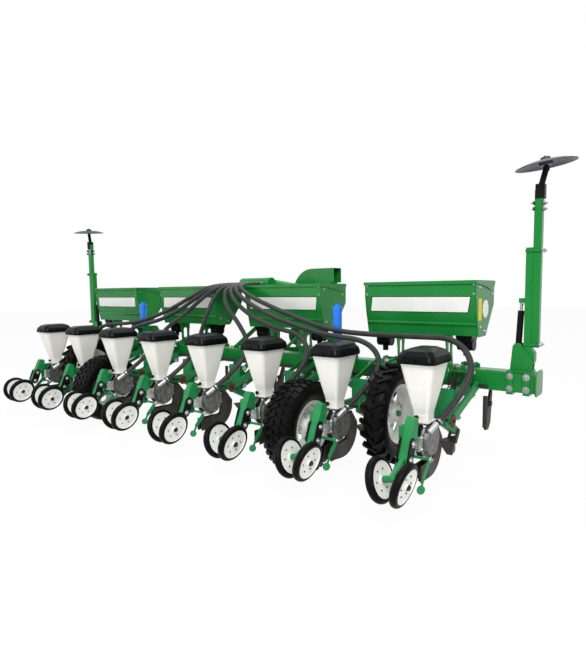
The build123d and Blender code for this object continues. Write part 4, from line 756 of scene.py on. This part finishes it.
def seen_directly(tree):
    """1 for a ray from the camera, a mirror or glass, and 0 for the light that falls on the object."""
    path = tree.nodes.new("ShaderNodeLightPath")
    value = path.outputs["Is Camera Ray"]
    for ray in ("Is Glossy Ray", "Is Transmission Ray"):
        larger = tree.nodes.new("ShaderNodeMath")
        larger.operation = "MAXIMUM"
        tree.links.new(value, larger.inputs[0])
        tree.links.new(path.outputs[ray], larger.inputs[1])
        value = larger.outputs["Value"]
    return value


FLOOR_PAINT = surface("floor_paint", (0.88, 0.88, 0.88), (0.91, 0.91, 0.91), 0.4, (0.7, 0.8), bump=0.0)
paint(floor.data, FLOOR_PAINT)
tree = FLOOR_PAINT.node_tree
part_white = tree.nodes.new("ShaderNodeMath")
part_white.operation = "MULTIPLY"
part_white.inputs[1].default_value = FLOOR_WHITE
tree.links.new(seen_directly(tree), part_white.inputs[0])
white = tree.nodes.new("ShaderNodeEmission")
blend = tree.nodes.new("ShaderNodeMixShader")
tree.links.new(part_white.outputs["Value"], blend.inputs["Fac"])
tree.links.new(tree.nodes["Principled BSDF"].outputs["BSDF"], blend.inputs[1])
tree.links.new(white.outputs["Emission"], blend.inputs[2])
tree.links.new(blend.outputs["Shader"], tree.nodes["Material Output"].inputs["Surface"])

WORLD_LIGHT = 0.40
world = bpy.data.worlds.new("studio")
world.use_nodes = True
bpy.context.scene.world = world
tree = world.node_tree
background = tree.nodes["Background"]
background.inputs["Color"].default_value = (1.0, 1.0, 1.0, 1)
strength = tree.nodes.new("ShaderNodeMapRange")
strength.inputs["To Min"].default_value = WORLD_LIGHT
strength.inputs["To Max"].default_value = 1.0
tree.links.new(seen_directly(tree), strength.inputs["Value"])
tree.links.new(strength.outputs["Result"], background.inputs["Strength"])


def lamp(name, place, aim, size, energy):
    """A square area light at a place, turned to what it aims at."""
    light = bpy.data.lights.new(name, "AREA")
    light.size = size
    light.energy = energy
    made = bpy.data.objects.new(name, light)
    made.location = place
    made.rotation_euler = (Vector(aim) - Vector(place)).to_track_quat("-Z", "Y").to_euler()
    bpy.context.scene.collection.objects.link(made)


lamp("key", (5.5, -6.0, 6.5), (0.4, -0.3, 0.6), 4.0, 620)
lamp("fill", (-5.5, -6.5, 4.0), (-0.5, 0, 0.6), 6.0, 170)
lamp("top", (0, 1.0, 7.5), (0, 0, 0), 6.0, 260)

# The camera as solved from the photograph: its place in the machine's own frame, its turns and its lens
CAMERA_AT = (3.776, -3.922, 1.283)
CAMERA_TURN = radians(38)
CAMERA_TILT = radians(90 - 4.73)
CAMERA_ROLL = radians(-0.61)
SENSOR = 36.0
FOCAL_PIXELS = 500.0
PHOTO_PIXELS = 666.0
camera = bpy.data.objects.new("camera", bpy.data.cameras.new("camera"))
camera.data.lens = SENSOR * FOCAL_PIXELS / PHOTO_PIXELS
camera.location = machine(*CAMERA_AT)
camera.rotation_euler = (CAMERA_TILT, 0, CAMERA_TURN)
camera.rotation_euler.rotate_axis("Z", CAMERA_ROLL)
bpy.context.scene.collection.objects.link(camera)
bpy.context.scene.camera = camera
bpy.context.scene.view_settings.view_transform = "Standard"
